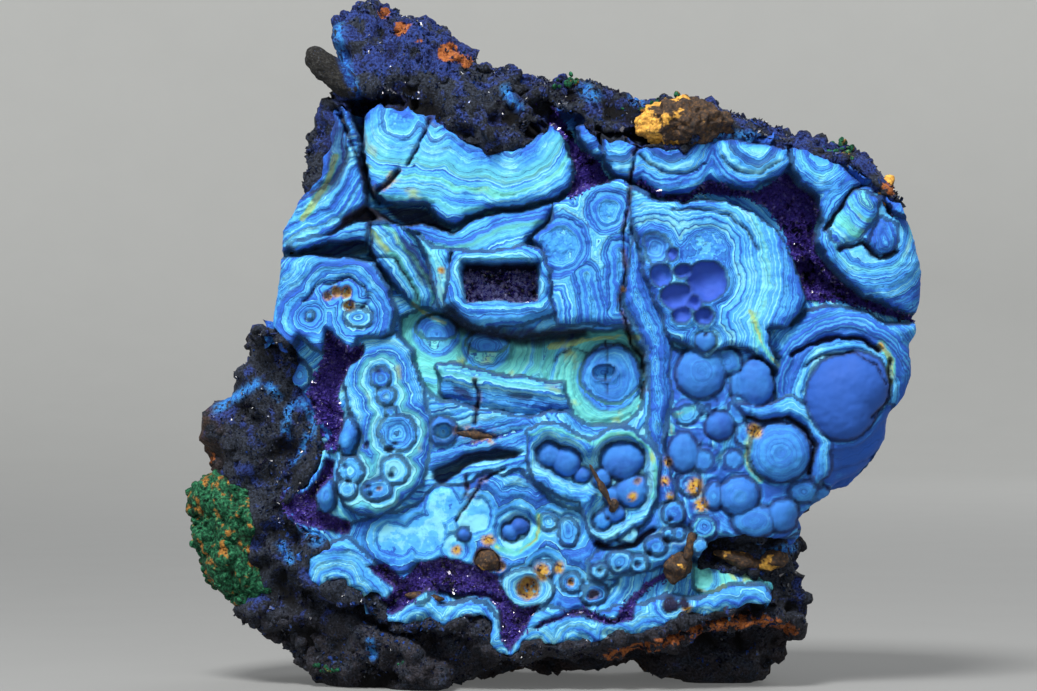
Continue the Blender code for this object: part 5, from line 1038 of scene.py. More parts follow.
def azurite_finish(sizes, colours):
    """Velvety azurite in bands that follow its layers, with smooth domes, green tints and iron stains."""
    f = Finish("banded azurite")
    along = f.total(f.look("layer"), f.centred(f.speckle(1.6, 4), 0.4), f.centred(f.speckle(5.0, 3), 1.0))
    through, fine = f.layers(along, sizes.fine_band / MM)
    across_broad, broad = f.layers(along, sizes.broad_band / MM)
    _, hair = f.layers(along, 0.5 * sizes.fine_band / MM)
    mottle = f.speckle(5.0, 4)
    dome = f.look("dome")
    # The through term darkens the start of each fine layer and pales its end: painted terrace shading that
    # matches the bump below.
    banded = f.total(f.centred(fine, 0.28), f.centred(broad, 0.22), f.centred(through, -0.10),
                     f.centred(f.banding(along, 3 * sizes.broad_band / MM, 2), 0.34), f.centred(hair, 0.30))
    shade = f.total(0.34, f.level(dome, banded, 0.2), f.centred(mottle, 0.7),
                    f.centred(f.speckle(0.45, 3, 0.7), 0.25), f.times(f.look("tone"), 0.55))
    blues = [(0.06, colours.pale), (0.30, colours.sky), (0.58, colours.azure), (0.95, colours.royal)]
    base = f.ramp(shade, blues)
    deep = f.between(f.total(f.look("tone"), f.centred(f.speckle(4.0, 3), 0.35)), 0.8, 1.2)
    bloom = f.mix(deep, (0.040, 0.235, 0.66), colours.dome)
    bloom = f.mix(f.times(f.look("violet"), 0.8), bloom, (0.036, 0.058, 0.44))
    base = f.mix(f.times(dome, 0.85), base, bloom)
    seam = f.between(f.look("green"), 0.78, 1.0)
    yellow = f.total(f.speckle(7.0, 3), f.times(seam, 0.3))
    sage = f.mix(f.between(yellow, 0.56, 0.68), colours.aqua, colours.lime)
    tinge = f.between(f.total(f.look("green"), f.centred(f.banding(along, 2.6), 0.9)), 0.25, 0.85)
    plain = f.math("SUBTRACT", 1, dome)
    base = f.mix(f.times(tinge, f.times(plain, 0.8)), base, sage)
    # Line and cleft darken the start of each fine and broad layer, where the bump has its riser: partly the
    # bands' own dark lines, partly painted shade on the risers.
    line = f.times(f.between(through, 0.26, 0.0), f.between(fine, 0.35, 0.8))
    base = f.mix(f.times(line, f.times(plain, 0.8)), base, scaled(colours.royal, 0.7))
    cleft = f.times(f.between(across_broad, 0.11, 0.0), f.between(broad, 0.45, 0.75))
    base = f.mix(f.times(cleft, f.times(plain, 0.75)), base, (0.004, 0.035, 0.20))
    # Steep places are mixed toward dark royal blue: painted shade on ledge walls and risers.
    base = f.mix(f.times(f.look("ledge"), 0.3), base, scaled(colours.royal, 0.6))
    stain = f.times(f.look("rust"), f.between(f.speckle(0.9, 4), 0.28, 0.46))
    earth = [(0.36, (0.01, 0.006, 0.004)), (0.46, colours.ochre), (0.58, (0.60, 0.38, 0.05))]
    base = f.mix(stain, base, f.ramp(f.speckle(0.7, 4), earth))
    # The dark look, speckled, mixes in ink: painted shade in gaps, cracks, pits, the pocket's upper part and
    # round domes, with the real dark of the grains; glint adds painted sparkle specks there.
    painted_shade_and_grains = f.times(f.look("dark"), f.between(f.speckle(0.5, 3), -0.25, 0.3))
    base = f.mix(painted_shade_and_grains, base, colours.ink)
    glint = f.times(f.between(f.speckle(0.3, 2), 0.62, 0.7), f.between(painted_shade_and_grains, 0.5, 1.0))
    base = f.mix(f.times(glint, 0.6), base, (0.05, 0.12, 0.34))
    druse = f.ramp(f.speckle(0.7, 3), [(0.32, (0.010, 0.005, 0.05)), (0.55, (0.045, 0.026, 0.20))])
    base = f.mix(f.look("crystal"), base, druse)
    grain = f.raised(f.speckle(0.2, 3), 0.04, 0.45)
    steps = f.total(through, f.times(across_broad, 1.5))
    ridges = f.raised(f.times(steps, plain), 0.16, 0.9, under=grain)
    return f.done(base, f.math("ADD", 0.6, f.times(mottle, 0.3)), ridges,
                  Sheen_Weight=0.05, Sheen_Roughness=0.4, Specular_IOR_Level=0.3)


def crystal_finish(name, colours, shades, roughness=0.12, gloss=0.35, dark=0.4):
    """Glassy azurite crystals: ink blue, with these colours where the light gets through."""
    f = Finish(name)
    stops = [(dark, scaled(colours.ink, 0.5))]
    stops += [(dark + 0.1 + 0.12 * n, shade) for n, shade in enumerate(shades)]
    base = f.ramp(f.total(f.speckle(1.2, 2), f.centred(f.speckle(6.0, 3), 0.6)), stops)
    return f.done(base, f.math("ADD", roughness, f.times(f.speckle(0.6), 0.15)), Coat_Weight=gloss)


def rock_finish(colours):
    """Dark goethite with ink-blue crystal fields, brown earthy parts and iron stains."""
    f = Finish("goethite rock")
    broad, relief = f.speckle(4.0, 6), f.look("relief")
    # Relief raises fine, so knob tops take the lighter rock colours: painted light on the rock's raised
    # parts.
    fine = f.total(f.times(f.speckle(0.5, 4), 0.75), f.times(relief, 0.24))
    light = scaled(colours.rock, 4.5)
    base = f.ramp(fine, [(0.38, scaled(colours.rock, 0.2)), (0.55, colours.rock), (0.72, light)])
    blue = f.between(f.total(broad, f.times(f.look("blue"), 0.5)), 0.84, 0.96)
    blues = [(0.40, (0.002, 0.003, 0.014)), (0.54, (0.008, 0.013, 0.075)), (0.68, (0.032, 0.066, 0.29))]
    base = f.mix(blue, base, f.ramp(fine, blues))
    brown = f.times(f.look("brown"), f.between(f.speckle(3.0, 5), 0.38, 0.55))
    browns = [(0.35, colours.rock), (0.55, colours.umber), (0.75, (0.13, 0.065, 0.03))]
    base = f.mix(brown, base, f.ramp(fine, browns))
    stain = f.between(f.total(f.speckle(1.6, 5), f.times(f.look("rust"), 0.45)), 0.78, 0.88)
    rusts = [(0.36, colours.umber), (0.52, (0.26, 0.07, 0.02)), (0.7, (0.52, 0.17, 0.045))]
    base = f.mix(stain, base, f.ramp(fine, rusts))
    greys = [(0.3, (0.006, 0.006, 0.006)), (0.52, (0.035, 0.034, 0.032)), (0.7, (0.12, 0.12, 0.115))]
    base = f.mix(f.look("grey"), base, f.ramp(fine, greys))
    vein = f.ramp(fine, [(0.38, (0.006, 0.03, 0.2)), (0.5, colours.royal), (0.66, colours.azure)])
    base = f.mix(f.times(f.look("streak"), f.between(f.speckle(1.5, 4), 0.38, 0.5)), base, vein)
    # Where relief is low the rock is darkened nearly to black: painted shade in its creases; glint puts
    # painted sparkle specks on the tops.
    base = f.mix(f.times(f.between(relief, 0.75, 0.2), 0.92), base, (0.001, 0.001, 0.002))
    glint = f.times(f.between(f.speckle(0.28, 2), 0.66, 0.72), f.times(relief, 0.6))
    base = f.mix(glint, base, (0.16, 0.24, 0.46))
    grit = f.raised(f.speckle(0.5, 6, 0.75), 0.6, 1.0)
    return f.done(base, f.math("ADD", 0.5, f.times(broad, 0.4)), grit, Specular_IOR_Level=0.22)


def malachite_finish(colours):
    """Fibrous green malachite with rusty earth between its tufts, and painted shade in the creases between
    its knobs.
    """
    f = Finish("malachite")
    fine = f.speckle(0.7, 5, 0.65)
    dark, light = scaled(colours.malachite, 0.12), (0.07, 0.32, 0.15)
    base = f.ramp(fine, [(0.38, dark), (0.52, colours.malachite), (0.74, light)])
    rusty = f.ramp(fine, [(0.35, colours.umber), (0.62, colours.ochre)])
    creased = f.ramp(fine, [(0.4, (0.01, 0.006, 0.004)), (0.7, dark)])
    # Creases between the knobs are mixed toward near black: painted shade.
    base = f.mix(f.times(f.look("crease"), 0.9), base, creased)
    base = f.mix(f.between(f.speckle(2.4, 5), 0.55, 0.62), base, rusty)
    return f.done(base, 0.7, f.raised(fine, 0.5, 1.0), Specular_IOR_Level=0.2)


def limonite_finish(colours):
    """Earthy limonite, brown-black with ochre yellow powder."""
    f = Finish("limonite")
    fine, broad = f.speckle(0.7, 6, 0.65), f.speckle(3.2, 5)
    base = f.ramp(fine, [(0.32, (0.008, 0.005, 0.004)), (0.5, colours.umber), (0.72, (0.16, 0.075, 0.02))])
    powder = f.ramp(fine, [(0.35, (0.36, 0.15, 0.02)), (0.62, (0.85, 0.47, 0.07))])
    base = f.mix(f.between(f.total(broad, f.times(f.look("powder"), 0.22)), 0.54, 0.62), base, powder)
    return f.done(base, 0.75, f.raised(fine, 0.35, 0.9))


# ---------------------------------------------------------------- the pieces

@cache
def skin(step):
    return even_block(step)


def looks_at(across, down):
    names = "tone green dark rust dome violet crystal ledge".split()
    return {name: face().read(name, across, down) for name in names}


def hollow_named(name):
    return next(hollow.outline for hollow in HOLLOWS if hollow.name == name)


DRIFT, SUNK = 0.25, 0.25     # how far a place is moved, and what share of a crystal or knob is below it
CRYSTAL_SPREAD, CRYSTAL_LIMITS = (-0.15, 0.38), (0.35, 1.9)     # lengths, as a share of the usual one
KNOB_SPREAD, KNOB_LIMITS = (-0.05, 0.45), (0.45, 2.2)
KNOB_SQUEEZE, KNOB_ROUGHNESS = (0.6, 1.25), 0.45


def spots_on(mesh, weights, count, rng):
    """Random places on a mesh with the way it faces there, more of them where the weight is larger."""
    weights = np.clip(weights, 0, None)
    chosen = rng.choice(len(weights), count, p=weights / weights.sum())
    facing = normals_of(mesh)[chosen]
    drift = DRIFT * rng.normal(size=(count, 3))
    drift -= facing * (drift * facing).sum(1)[:, None]
    return corners_of(mesh)[chosen] + drift, facing


def crystal_crust(name, mesh, weights, count, size, seed, lean=0.9):
    """A mesh of many small crystals, with their sizes spread round the usual one."""
    rng = np.random.default_rng(seed)
    places, facings = spots_on(mesh, weights, count, rng)
    lengths = size * rng.lognormal(*CRYSTAL_SPREAD, count).clip(*CRYSTAL_LIMITS)
    points, faces = crystals(places - SUNK * size * facings, facings, lengths, rng, lean)
    return mesh_of(name, points, faces.tolist())


def ball(detail):
    """Corners and triangles of an even ball of radius 1."""
    held = bmesh.new()
    bmesh.ops.create_icosphere(held, subdivisions=detail, radius=1)
    points = np.array([corner.co for corner in held.verts])
    faces = np.array([[corner.index for corner in each.verts] for each in held.faces])
    held.free()
    return points, faces


def knobs_at(name, places, facings, radii, rng, seed):
    """A mesh of small uneven knobs, each sunk partly below its place."""
    count = len(places)
    corners, triangles = ball(2)
    squeeze = rng.uniform(*KNOB_SQUEEZE, (count, 3)) * radii[:, None]
    turned = np.stack([np.linalg.qr(rng.normal(size=(3, 3)))[0] for _ in range(count)])
    points = np.einsum("nci,nij->ncj", corners[None] * squeeze[:, None], turned)
    points = (points + (places - SUNK * radii[:, None] * facings)[:, None]).reshape(-1, 3)
    rise = KNOB_ROUGHNESS * np.repeat(radii, len(corners))
    points += rise[:, None] * np.stack([rough(*points.T, 1.1, 3, seed + n) for n in range(3)], 1)
    points[:, 2] = np.maximum(points[:, 2], 0)
    mesh = mesh_of(name, points, copied(triangles, len(corners), count).tolist())
    shade_smooth(mesh)
    return mesh


def lump(centre, radii, lean, knob, seed, detail):
    """A knobbly stone: its corners and triangles."""
    points, faces = ball(detail)
    facing = points.copy()
    points = points * radii
    points += facing * (min(0.8, 0.4 * min(radii)) * rough(*points.T, 5.0, 3, 121))[:, None]
    points += facing * (knob * rough(*points.T, 1.8, 4, seed))[:, None]
    turned = (points[:, 0] + 1j * points[:, 2]) * np.exp(-1j * lean)
    across, down, depth = centre
    place = (across - SHEET_CENTRE, DATUM_Y + depth, SHEET_FOOT - down)
    return np.stack([turned.real, points[:, 1], turned.imag], 1) + place, faces


def rock_looks(x, y, z):
    """How blue, brown and rusty the rock is at these places."""
    back = smooth(-10, 8, y)
    crest, low, left = smooth(100, 116, z), 1 - smooth(8, 20, z), 1 - smooth(-66, -56, x)
    blue = 0.62 + 0.08 * crest + 0.2 * smooth(120, 128, z) + 0.22 * smooth(15, 35, x) * smooth(92, 104, z)
    # Less blue toward the bottom, which darkens it: painted shade at the foot.
    blue = np.clip(blue, 0, 1) * (1 - 0.85 * back) * (1 - 0.4 * low)
    brown = np.clip(0.65 * back + 0.7 * (1 - smooth(-72, -65, x)) + 0.2 * low, 0, 1)
    patches = smooth(0.1, 0.4, rough(x, y, z, 8.0, 3, 164))
    across, down = on_sheet(x, z)
    spots = sum(smooth(1, 0.5, np.hypot(across - a, down - d) / r) for a, d, r in RUST_SPOTS)
    edge = 1 - smooth(0.5, 1.3, to_line(across, down, RUSTY_EDGE) / RUSTY_EDGE_WIDTH)
    rust = np.clip(patches * (0.25 * left + 0.5 * back) + (spots + 0.8 * edge) * smooth(2, -6, y), 0, 1)
    beside = [to_line(across, down, points) / width for width, points in STREAKS]
    streak = (1 - smooth(0.3, 1.2, np.min(beside, axis=0))) * (y < 0)
    return {"blue": blue, "brown": brown, "rust": rust, "streak": streak}


FACE_GRAIN, FACE_TUCK, BACK_TUCK = 0.22, 3.5, 2.5     # the face's edges and back are tucked into the rock
ROCK_TUCK, CRUST_TUCK = 2.5, 1.2     # how far the rock draws back under the face and under the malachite
ROCK_KNOBS = ((1.2, 3.6, 161), (0.8, 1.9, 165))     # height, size, seed
ROCK_RIDGES = ((4.4, 9.0, 166), (2.2, 4.0, 167))
ROCK_LEVEL = 1.6     # what the relief stands out by on average


class AZURITE_OT_face(Operator):
    """The blue face with its ledges, domes and bands, which stands for the azurite solid"""
    bl_idname = "azurite.face"
    bl_label = "Blue face"

    def execute(self, context):
        sizes, colours = context.scene.azurite_sizes, context.scene.azurite_colours
        points, faces = skin(sizes.skin_step / MM)
        across, down, depth = sheet_place(points)
        edge = face().read("azure", across, down)
        back = AZURITE_BACK + 1.2 * rough(*points.T, 6.0, 3, 141)
        mesh, used = part_of("azurite_face", points, faces, (edge > -0.9) & (depth < back + 0.5))
        across, down, depth, edge, back = (each[used] for each in (across, down, depth, edge, back))
        move_corners(mesh, shaped(points[used]))
        on_side = depth > 0.5
        tuck = FACE_TUCK * (1 - smooth(-0.9, 1.0, edge)) + BACK_TUCK * smooth(-3, 0.5, depth - back) * on_side
        fine = FACE_GRAIN * rough(*points[used].T, 1.1, 3, 151)
        points = corners_of(mesh) + normals_of(mesh) * (fine - tuck)[:, None]
        move_corners(mesh, points)
        store(mesh, layer=face().read("layer", across, down) + depth, **looks_at(across, down))
        shade_smooth(mesh)
        add_piece("azurite_face", mesh, azurite_finish(sizes, colours), "azurite", "azurite")
        return {"FINISHED"}


class AZURITE_OT_rock(Operator):
    """The dark rock behind and round the blue face, with its two feet"""
    bl_idname = "azurite.rock"
    bl_label = "Rock"

    def execute(self, context):
        sizes, colours = context.scene.azurite_sizes, context.scene.azurite_colours
        points, faces = skin(sizes.rock_step / MM)
        across, down, depth = sheet_place(points)
        edge = face().read("azure", across, down)
        mesh, used = part_of("rock", points, faces, (edge < 3) | (depth > 0.5))
        across, down, depth, edge = (each[used] for each in (across, down, depth, edge))
        move_corners(mesh, shaped(points[used]))
        under_face = smooth(0, 1.6, edge) * (1 - smooth(AZURITE_BACK - 1, AZURITE_BACK + 1, depth))
        before_back = 1 - smooth(MALACHITE_BACK - 3, MALACHITE_BACK, depth)
        under_crust = smooth(0, 1, within(across, down, MALACHITE)) * before_back
        raised = sum(gain * knobs(*points[used].T, size, seed) for gain, size, seed in ROCK_KNOBS)
        for gain, size, seed in ROCK_RIDGES:
            raised += gain * (0.2 - abs(rough(*points[used].T, size, 3, seed)))
        raised = (raised - ROCK_LEVEL) * (1 - 0.5 * smooth(168, 178, across) * smooth(62, 46, down))
        standing = smooth(0.2, 1.5, corners_of(mesh)[:, 2])
        shift = raised * standing - ROCK_TUCK * under_face - CRUST_TUCK * under_crust
        points = corners_of(mesh) + normals_of(mesh) * shift[:, None]
        points[:, 2] = np.maximum(points[:, 2], 0)
        finger, its_faces = lump(FINGER_CENTRE, FINGER_RADII, FINGER_LEAN, 0.5, 163, 5)
        count = len(points)
        # The relief look drives the rock finish's painted light on tops and painted shade in creases.
        relief = np.append(smooth(-2.8, -0.1, raised), np.full(len(finger), FINGER_RELIEF))
        kept = quads_of(mesh).tolist() + (its_faces + count).tolist()
        bpy.data.meshes.remove(mesh)
        mesh = mesh_of("rock", np.concatenate([points, finger]), kept)
        x, y, z = corners_of(mesh).T
        grey = np.append(np.zeros(count), np.ones(len(finger)))
        store(mesh, grey=grey, relief=relief, **rock_looks(x, y, z))
        shade_smooth(mesh)
        add_piece("rock", mesh, rock_finish(colours), "matrix", "matrix")
        return {"FINISHED"}


class AZURITE_OT_druse(Operator):
    """The crystal crusts that line the valleys and the pocket"""
    bl_idname = "azurite.druse"
    bl_label = "Crystal-lined hollows"

    CRUSTS = [
        ("valley_right", "valley_right_druse", 12000, 181),
        ("valley_top", "valley_top_druse", 4000, 182),
        ("valley_left", "valley_left_druse", 4200, 183),
    ]

    def execute(self, context):
        sizes, colours = context.scene.azurite_sizes, context.scene.azurite_colours
        shades = [(0.035, 0.018, 0.16), (0.06, 0.04, 0.28)]
        finish = crystal_finish("purple azurite crystals", colours, shades, dark=0.26)
        mesh = bpy.data.objects["azurite_face"].data
        x, y, z = corners_of(mesh).T
        across, down = on_sheet(x, z)
        size = sizes.druse_crystal / MM
        front = y < DATUM_Y + VALLEY_BACK
        for valley, node, count, seed in self.CRUSTS:
            inside = smooth(-0.3, 0.6, within(across, down, hollow_named(valley))) * front
            crust = crystal_crust(node + "_crystals", mesh, inside, count, size, seed, 0.5)
            add_piece(node + "_crystals", crust, finish, "azurite_crystals", node)
        grown = read_all(mesh.attributes["crystal"].data, "value").ravel()
        valleys = [smooth(-0.8, 0, within(across, down, hollow_named(valley))) for valley, *_ in self.CRUSTS]
        rest = np.clip(grown - sum(valleys), 0, 1) * front
        crust = crystal_crust("channel_crystals", mesh, rest, CHANNEL_CRYSTALS, 0.9 * size, 185)
        add_piece("channel_crystals", crust, finish, "azurite_crystals")
        deep = (y > DATUM_Y + 4) & (y < DATUM_Y + POCKET_BACK) & (within(across, down, POCKET) > -0.2)
        lower = deep * smooth(POCKET[0][1] + 1.2, POCKET[0][1] + 3.2, down)
        crust = crystal_crust("pocket_crystals", mesh, lower, POCKET_CRYSTALS, size, 184)
        # The pocket's crystals are paler than the others: painted light on the druse lit in the lower pocket.
        shades = [(0.14, 0.10, 0.28), (0.34, 0.32, 0.6)]
        blue = crystal_finish("pocket azurite crystals", colours, shades, 0.08, dark=0.3)
        add_piece("pocket_crystals", crust, blue, "azurite_crystals", "pocket_druse")
        return {"FINISHED"}


class AZURITE_OT_rock_crystals(Operator):
    """Small dark blue crystals scattered thickly over the rock's front, crest and flank"""
    bl_idname = "azurite.rock_crystals"
    bl_label = "Crystals on the rock"

    def execute(self, context):
        sizes, colours = context.scene.azurite_sizes, context.scene.azurite_colours
        mesh = bpy.data.objects["rock"].data
        x, y, z = corners_of(mesh).T
        across, down = on_sheet(x, z)
        bare = within(across, down, AZURITE) < 0.2
        weights = np.where(bare & (y < DATUM_Y + FRONT_BACK), 1.0, 0.0)
        weights += np.where((z > CREST_HEIGHT) & (y < 10), 0.6, 0) + 0.04
        weights *= 0.3 + smooth(-0.25, 0.2, rough(x, y, z, 7.0, 3, 191))
        finger = np.hypot(across - FINGER_CENTRE[0], down - FINGER_CENTRE[1]) < 10
        clear = (z > 1.2) & (within(across, down, MALACHITE) < -1) & ~(finger & (x < -38.5))
        size, count = sizes.rock_crystal / MM, sizes.rock_crystals
        crust = crystal_crust("rock_crystals", mesh, weights * clear, count, size, 192)
        shades = [(0.005, 0.012, 0.035), (0.012, 0.020, 0.040), (0.012, 0.05, 0.26)]
        finish = crystal_finish("dark azurite crystals", colours, shades, 0.16, 0.0)
        add_piece("rock_crystals", crust, finish, "azurite_crystals")

        rng = np.random.default_rng(193)
        near_rim = smooth(9, 0, within(across, down, SILHOUETTE)) * (y < 12)
        open_rock = bare | (y > DATUM_Y + VALLEY_BACK)
        weights = (0.6 + 1.5 * near_rim + 0.8 * (z > CREST_HEIGHT)) * open_rock * clear * (y < 20)
        weights *= smooth(-0.3, 0.3, rough(x, y, z, 9.0, 3, 194))
        places, facings = spots_on(mesh, weights, sizes.rock_knobs, rng)
        radii = sizes.rock_knob / MM * rng.lognormal(*KNOB_SPREAD, len(places)).clip(*KNOB_LIMITS)
        crust = knobs_at("rock_knobs", places, facings, radii, rng, 195)
        plain, raised = np.zeros(len(crust.vertices)), np.full(len(crust.vertices), KNOB_RELIEF)
        store(crust, grey=plain, relief=raised, **rock_looks(*corners_of(crust).T))
        add_piece("rock_knobs", crust, bpy.data.objects["rock"].data.materials[0], "matrix")
        return {"FINISHED"}


COVER_KNOB_LAYERS = ((1.5, 2.6, 171), (0.8, 1.3, 172))     # height, size, seed
COVER_ROUGHNESS, COVER_LEVEL, COVER_TUCK = 1.5, 0.9, 2.2
COVER_KNOB_RADII, TUFT_RADII = (0.5, 1.3), (0.35, 0.8)
TUFT_HEIGHT = 0.45     # a tuft's reach down the sheet, as a share of its reach across


class AZURITE_OT_malachite(Operator):
    """The green malachite crust low on the left flank, and tufts of it along the upper edge"""
    bl_idname = "azurite.malachite"
    bl_label = "Malachite"

    TUFTS = [(113.8, 15.8, 1.5, 12), (133.0, 20.2, 2.6, 30), (169.0, 29.6, 1.8, 22), (64.2, 134.2, 1.4, 10),
             (82.0, 133.6, 1.3, 9)]     # across, down, reach, how many knobs

    def execute(self, context):
        sizes, colours = context.scene.azurite_sizes, context.scene.azurite_colours
        finish = malachite_finish(colours)
        points, faces = skin(sizes.skin_step / MM)
        across, down, depth = sheet_place(points)
        edge = within(across, down, MALACHITE)
        mesh, used = part_of("malachite", points, faces, (edge > -0.8) & (depth < MALACHITE_BACK))
        edge, depth = edge[used], depth[used]
        move_corners(mesh, shaped(points[used]))
        rise = sum(gain * knobs(*points[used].T, size, seed) for gain, size, seed in COVER_KNOB_LAYERS)
        rise += COVER_ROUGHNESS * rough(*points[used].T, 3.0, 4, 177) - COVER_LEVEL
        # Crease marks the low places between knobs, which the malachite finish paints with shade.
        store(mesh, crease=1 - smooth(-0.3, 0.9, rise))
        sink = COVER_TUCK * (1 - smooth(-0.8, 0.8, edge))
        sink += COVER_TUCK * smooth(MALACHITE_BACK - 2.5, MALACHITE_BACK, depth)
        move_corners(mesh, corners_of(mesh) + normals_of(mesh) * (rise - sink)[:, None])
        shade_smooth(mesh)
        add_piece("malachite_cover", mesh, finish, "malachite", "malachite_crust")

        rng = np.random.default_rng(173)
        x, _, z = corners_of(mesh).T
        thick = smooth(-0.5, 2, within(*on_sheet(x, z), MALACHITE))
        places, facings = spots_on(mesh, thick, COVER_KNOBS, rng)
        radii = rng.uniform(*COVER_KNOB_RADII, len(places))
        for across, down, reach, count in self.TUFTS:
            a = across + reach * rng.normal(size=count)
            d = down + TUFT_HEIGHT * reach * rng.normal(size=count)
            more, faced = on_face(a, d)
            places, facings = np.concatenate([places, more]), np.concatenate([facings, faced])
            radii = np.append(radii, rng.uniform(*TUFT_RADII, count))
        tufts = knobs_at("malachite_tufts", places, facings, radii, rng, 174)
        store(tufts, crease=np.zeros(len(tufts.vertices)))
        add_piece("malachite_tufts", tufts, finish, "malachite")
        return {"FINISHED"}


LIMONITE_KNOB = 1.7
POWDERED_HEIGHT = 90     # the earthy lumps above it are covered in ochre powder


class AZURITE_OT_limonite(Operator):
    """The ochre lump of earthy limonite on the upper edge"""
    bl_idname = "azurite.limonite"
    bl_label = "Limonite lump"

    def execute(self, context):
        points, faces = lump(LIMONITE_CENTRE, LIMONITE_RADII, 0.0, LIMONITE_KNOB, 131, 6)
        mesh = mesh_of("limonite", points, faces.tolist())
        left = (LIMONITE_CENTRE[0] - SHEET_CENTRE - points[:, 0]) / 6
        store(mesh, powder=np.clip(left + rough(*points.T, 4, 2, 132), -1, 1))
        shade_smooth(mesh)
        finish = limonite_finish(context.scene.azurite_colours)
        add_piece("limonite", mesh, finish, "limonite", "limonite_lump")
        made = [lump(*place, 0.3 + 0.35 * min(place[1]), 133 + n, 4) for n, place in enumerate(EARTHY_LUMPS)]
        starts = np.cumsum([0] + [len(points) for points, _ in made])
        points = np.concatenate([points for points, _ in made])
        faces = np.concatenate([faces + start for (_, faces), start in zip(made, starts)])
        mesh = mesh_of("earthy_lumps", points, faces.tolist())
        high = points[:, 2] > POWDERED_HEIGHT
        store(mesh, powder=0.5 * rough(*points.T, 3, 2, 134) - 0.35 + high)
        shade_smooth(mesh)
        add_piece("earthy_lumps", mesh, finish, "limonite")
        return {"FINISHED"}


# ---------------------------------------------------------------- stage

FLAT, BEND, FLOOR_SIDES = 1.3, 0.45, 72     # the floor's flat reach and the radius of its bend, in metres
LAMPS = [    # name, place, size, power and tint
    ("overhead", (-0.22, -0.55, 0.85), 0.3, 15.0, (1.0, 0.99, 0.97)),
    ("front", (0.35, -1.1, 0.6), 0.6, 2.2, (1.0, 1.0, 1.0)),
    ("left", (-1.0, -0.35, 0.5), 0.7, 1.2, (0.97, 0.98, 1.0)),
    ("back", (0.5, 1.0, 0.75), 0.9, 5.0, (1.0, 1.0, 1.0)),
]
LAMPS_AIM = (0, 0, 0.065)
SKY_TINT, SKY_STRENGTH = (0.93, 0.96, 1.0, 1), 0.2
CAMERA_ACROSS, CAMERA_HEIGHT, CAMERA_DISTANCE = -0.0072, 0.0691, 0.8
FRAME_WIDTH, SENSOR_WIDTH = 0.2074, 36.0     # metres seen at the face, and the sensor in millimetres


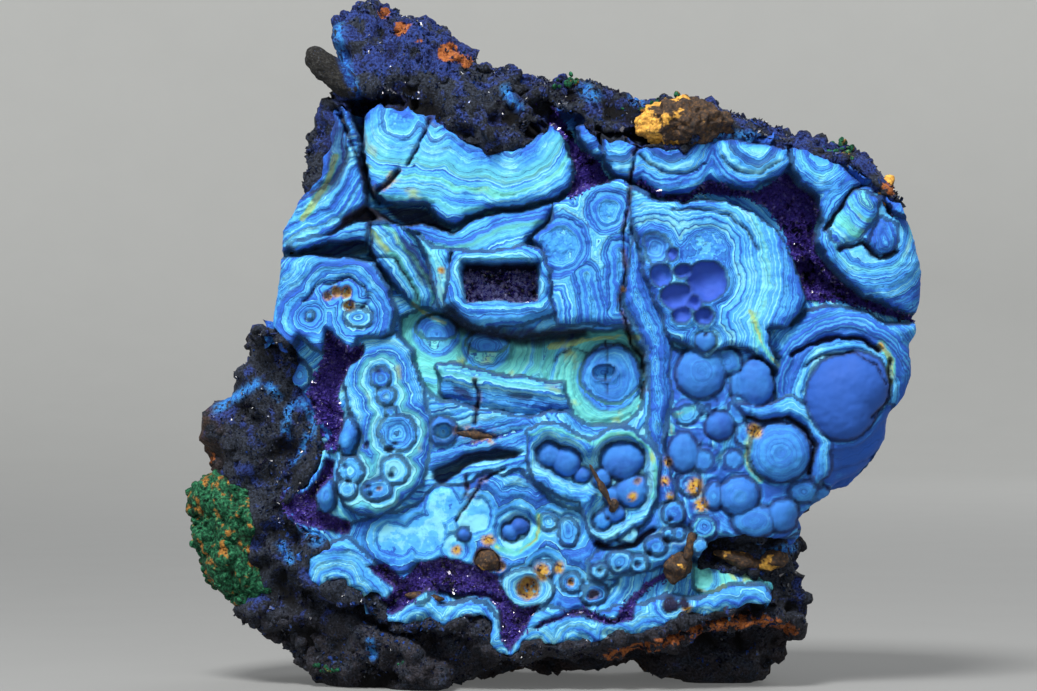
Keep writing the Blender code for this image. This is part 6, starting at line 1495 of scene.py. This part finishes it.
class AZURITE_OT_stage(Operator):
    """The pale floor with its curved backdrop, the soft lights and the camera"""
    bl_idname = "azurite.stage"
    bl_label = "Stage"

    def execute(self, context):
        scene = context.scene
        self.add_floor(scene)
        self.add_lights(scene)
        self.add_camera(scene)
        scene.view_settings.view_transform = "Standard"
        return {"FINISHED"}

    def add_floor(self, scene):
        turn = np.linspace(0, np.pi / 2, 17)
        profile = [(0.95 * FLAT, 0.0)] + [(FLAT + BEND * np.sin(t), BEND * (1 - np.cos(t))) for t in turn]
        profile.append((FLAT + BEND, BEND + 0.2))
        held = bmesh.new()
        rings = [[held.verts.new((reach * np.cos(way), reach * np.sin(way), z))
                  for way in np.linspace(0, 2 * np.pi, FLOOR_SIDES, endpoint=False)] for reach, z in profile]
        held.faces.new(rings[0])
        for inner, outer in zip(rings, rings[1:]):
            for n in range(FLOOR_SIDES):
                held.faces.new((inner[n - 1], outer[n - 1], outer[n], inner[n]))
        mesh = bpy.data.meshes.new("floor")
        held.to_mesh(mesh)
        held.free()
        shade_smooth(mesh)
        floor = bpy.data.objects.new("floor", mesh)
        scene.collection.objects.link(floor)
        f = Finish("pale paper")
        reach = f.node("VectorMath", {0: f.place}, output=1, operation="LENGTH")
        height = f.times(f.node("SeparateXYZ", {0: f.place}, output=2), 2.0)
        away = f.between(f.math("ADD", reach, height), 200.0, 2600.0)
        base = f.mix(away, scene.azurite_colours.floor, scene.azurite_colours.backdrop)
        pulp = f.ramp(f.speckle(30.0, 3), [(0.3, (0.97, 0.97, 0.97)), (0.7, (1, 1, 1))])
        far = f.between(reach, 500.0, 1700.0)
        # The floor and backdrop glow a little: painted light that evens them out and lightens the specimen's
        # shadow on the floor.
        f.links.new(base, f.shader.inputs["Emission Color"])
        glow = f.math("SUBTRACT", 0.5, f.times(far, 0.08))
        f.links.new(glow, f.shader.inputs["Emission Strength"])
        f.done(f.mix(1.0, base, pulp, "MULTIPLY"), 0.85)
        mesh.materials.append(f.material)

    def add_lights(self, scene):
        for name, place, size, power, tint in LAMPS:
            light = bpy.data.lights.new(name, "AREA")
            light.size, light.energy, light.color = size, power, tint
            lamp = bpy.data.objects.new(name, light)
            lamp.location = place
            lamp.visible_camera = False
            aim = Vector(LAMPS_AIM) - lamp.location
            lamp.rotation_euler = aim.to_track_quat("-Z", "Y").to_euler()
            scene.collection.objects.link(lamp)
        world = bpy.data.worlds.new("studio")
        world.use_nodes = True
        sky = world.node_tree.nodes["Background"].inputs
        sky["Color"].default_value, sky["Strength"].default_value = SKY_TINT, SKY_STRENGTH
        scene.world = world

    def add_camera(self, scene):
        sight = bpy.data.cameras.new("camera")
        sight.sensor_fit, sight.sensor_width = "HORIZONTAL", SENSOR_WIDTH
        sight.lens = SENSOR_WIDTH * CAMERA_DISTANCE / FRAME_WIDTH
        camera = bpy.data.objects.new("camera", sight)
        camera.location = (CAMERA_ACROSS, DATUM_Y * MM - CAMERA_DISTANCE, CAMERA_HEIGHT)
        camera.rotation_euler = (np.pi / 2, 0, 0)
        scene.collection.objects.link(camera)
        scene.camera = camera


# ---------------------------------------------------------------- sidebar and start

class AZURITE_PT_build(Panel):
    """Lists the steps that build the specimen, with its sizes and colours"""
    bl_label = "Azurite specimen"
    bl_space_type = "VIEW_3D"
    bl_region_type = "UI"
    bl_category = "Azurite"

    def draw(self, context):
        for step in STEPS:
            self.layout.operator(step.bl_idname)
        for group in (context.scene.azurite_sizes, context.scene.azurite_colours):
            for name in group.__annotations__:
                self.layout.prop(group, name)


STEPS = (AZURITE_OT_face, AZURITE_OT_rock, AZURITE_OT_druse, AZURITE_OT_rock_crystals, AZURITE_OT_malachite,
         AZURITE_OT_limonite, AZURITE_OT_stage)
CLASSES = (AzuriteSizes, AzuriteColours, *STEPS, AZURITE_PT_build)


def register():
    for each in CLASSES:
        bpy.utils.register_class(each)
    bpy.types.Scene.azurite_sizes = PointerProperty(type=AzuriteSizes)
    bpy.types.Scene.azurite_colours = PointerProperty(type=AzuriteColours)


def unregister():
    del bpy.types.Scene.azurite_sizes
    del bpy.types.Scene.azurite_colours
    for each in reversed(CLASSES):
        bpy.utils.unregister_class(each)


def main():
    register()
    for step in STEPS:
        group, name = step.bl_idname.split(".")
        getattr(getattr(bpy.ops, group), name)()


if __name__ == "__main__":
    main()
